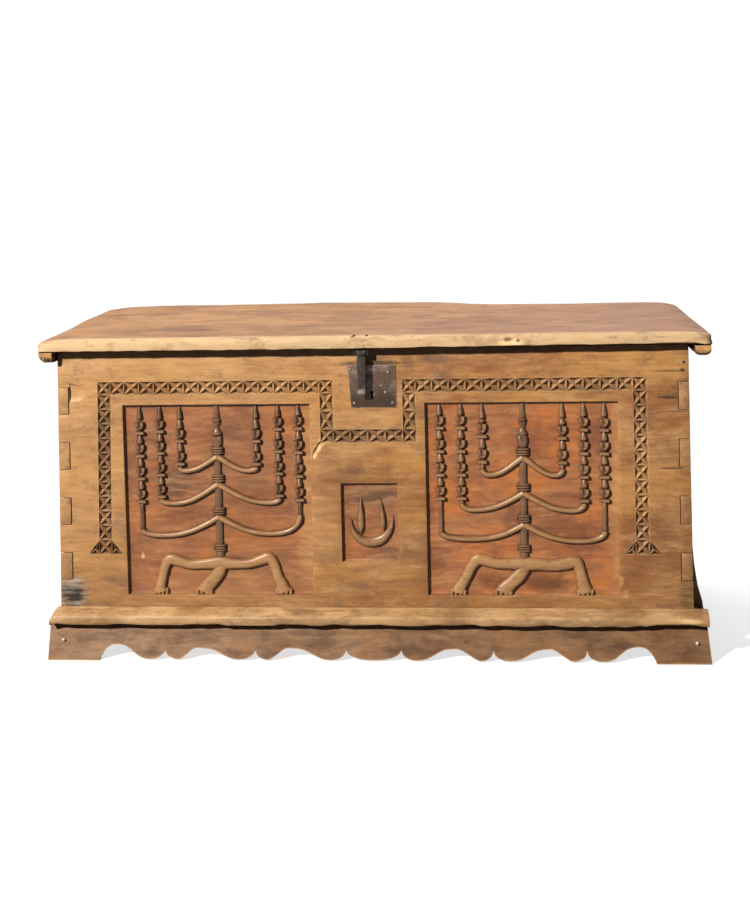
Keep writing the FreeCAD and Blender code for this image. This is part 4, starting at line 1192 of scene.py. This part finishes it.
def studio():
    bm = bmesh.new()
    bmesh.ops.create_grid(bm, x_segments=1, y_segments=1, size=4.0, matrix=Matrix.Translation((0, -2.2, 0)))
    mesh = bpy.data.meshes.new("floor")
    bm.to_mesh(mesh)
    bm.free()
    floor = bpy.data.objects.new("floor", mesh)
    bpy.context.scene.collection.objects.link(floor)
    # matt paper that glows a little, so that it stands as a pale ground
    paper = bpy.data.materials.new("pale_paper")
    paper.use_nodes = True
    shader = paper.node_tree.nodes["Principled BSDF"]
    for socket, value in (("Base Color", linear("#9a9a9a")), ("Roughness", 0.9),
                          ("Emission Color", linear("#ffffff")), ("Emission Strength", 0.7)):
        shader.inputs[socket].default_value = value
    mesh.materials.append(paper)
    floor.visible_diffuse = False
    # soft light from behind, fading to almost none in front
    world = bpy.data.worlds.new("studio")
    world.use_nodes = True
    tree = world.node_tree
    sky = addNode(tree, "ShaderNodeSeparateXYZ", None,
                  {0: addNode(tree, "ShaderNodeTexCoord").outputs["Generated"]})
    level = addNode(tree, "ShaderNodeMapRange", {"From Min": 0.1, "From Max": 0.7, "To Min": 0.055,
                                                 "To Max": 1.05}, {"Value": sky.outputs["Y"]})
    tree.nodes["Background"].inputs["Color"].default_value = linear("#ffffff")
    tree.links.new(level.outputs[0], tree.nodes["Background"].inputs["Strength"])
    bpy.context.scene.world = world


def areaLight(name, place, aim, size, power, colour="#ffffff"):
    data = bpy.data.lights.new(name, "AREA")
    data.size = size
    data.energy = power
    data.color = linear(colour)[:3]
    lamp = bpy.data.objects.new(name, data)
    lamp.location = place
    lamp.rotation_euler = (Vector(aim) - Vector(place)).to_track_quat("-Z", "Y").to_euler()
    bpy.context.scene.collection.objects.link(lamp)


cameraView = {"place": (0.2370, -2.7441, 0.8738), "yaw": 0.0854, "pitch": -0.0615, "roll": 0.0223,
              "focal": 56.44, "shift": (-0.0039, -0.2098)}


def photoCamera():
    data = bpy.data.cameras.new("photoCamera")
    data.sensor_width = 36
    data.lens = cameraView["focal"]
    data.shift_x, data.shift_y = cameraView["shift"]
    camera = bpy.data.objects.new("photoCamera", data)
    turn = (Matrix.Rotation(cameraView["yaw"], 4, "Z")
            @ Matrix.Rotation(math.pi / 2 + cameraView["pitch"], 4, "X")
            @ Matrix.Rotation(-cameraView["roll"], 4, "Z"))
    camera.matrix_world = Matrix.Translation(cameraView["place"]) @ turn
    bpy.context.scene.collection.objects.link(camera)
    bpy.context.scene.camera = camera


studio()
areaLight("keyLight", (-3.52, -5.04, 3.8), (0, -0.2, 0.35), 0.35, 1170, "#fff4e4")
areaLight("topLight", (-0.3, 1.2, 2.6), (0, 0, 0.55), 1.6, 62)
photoCamera()
bpy.context.scene.view_settings.view_transform = "Standard"

for name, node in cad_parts.items():
    node.data.materials.clear()
    node.data.materials.append(bareWood if name.startswith("plinth_block") else iron)
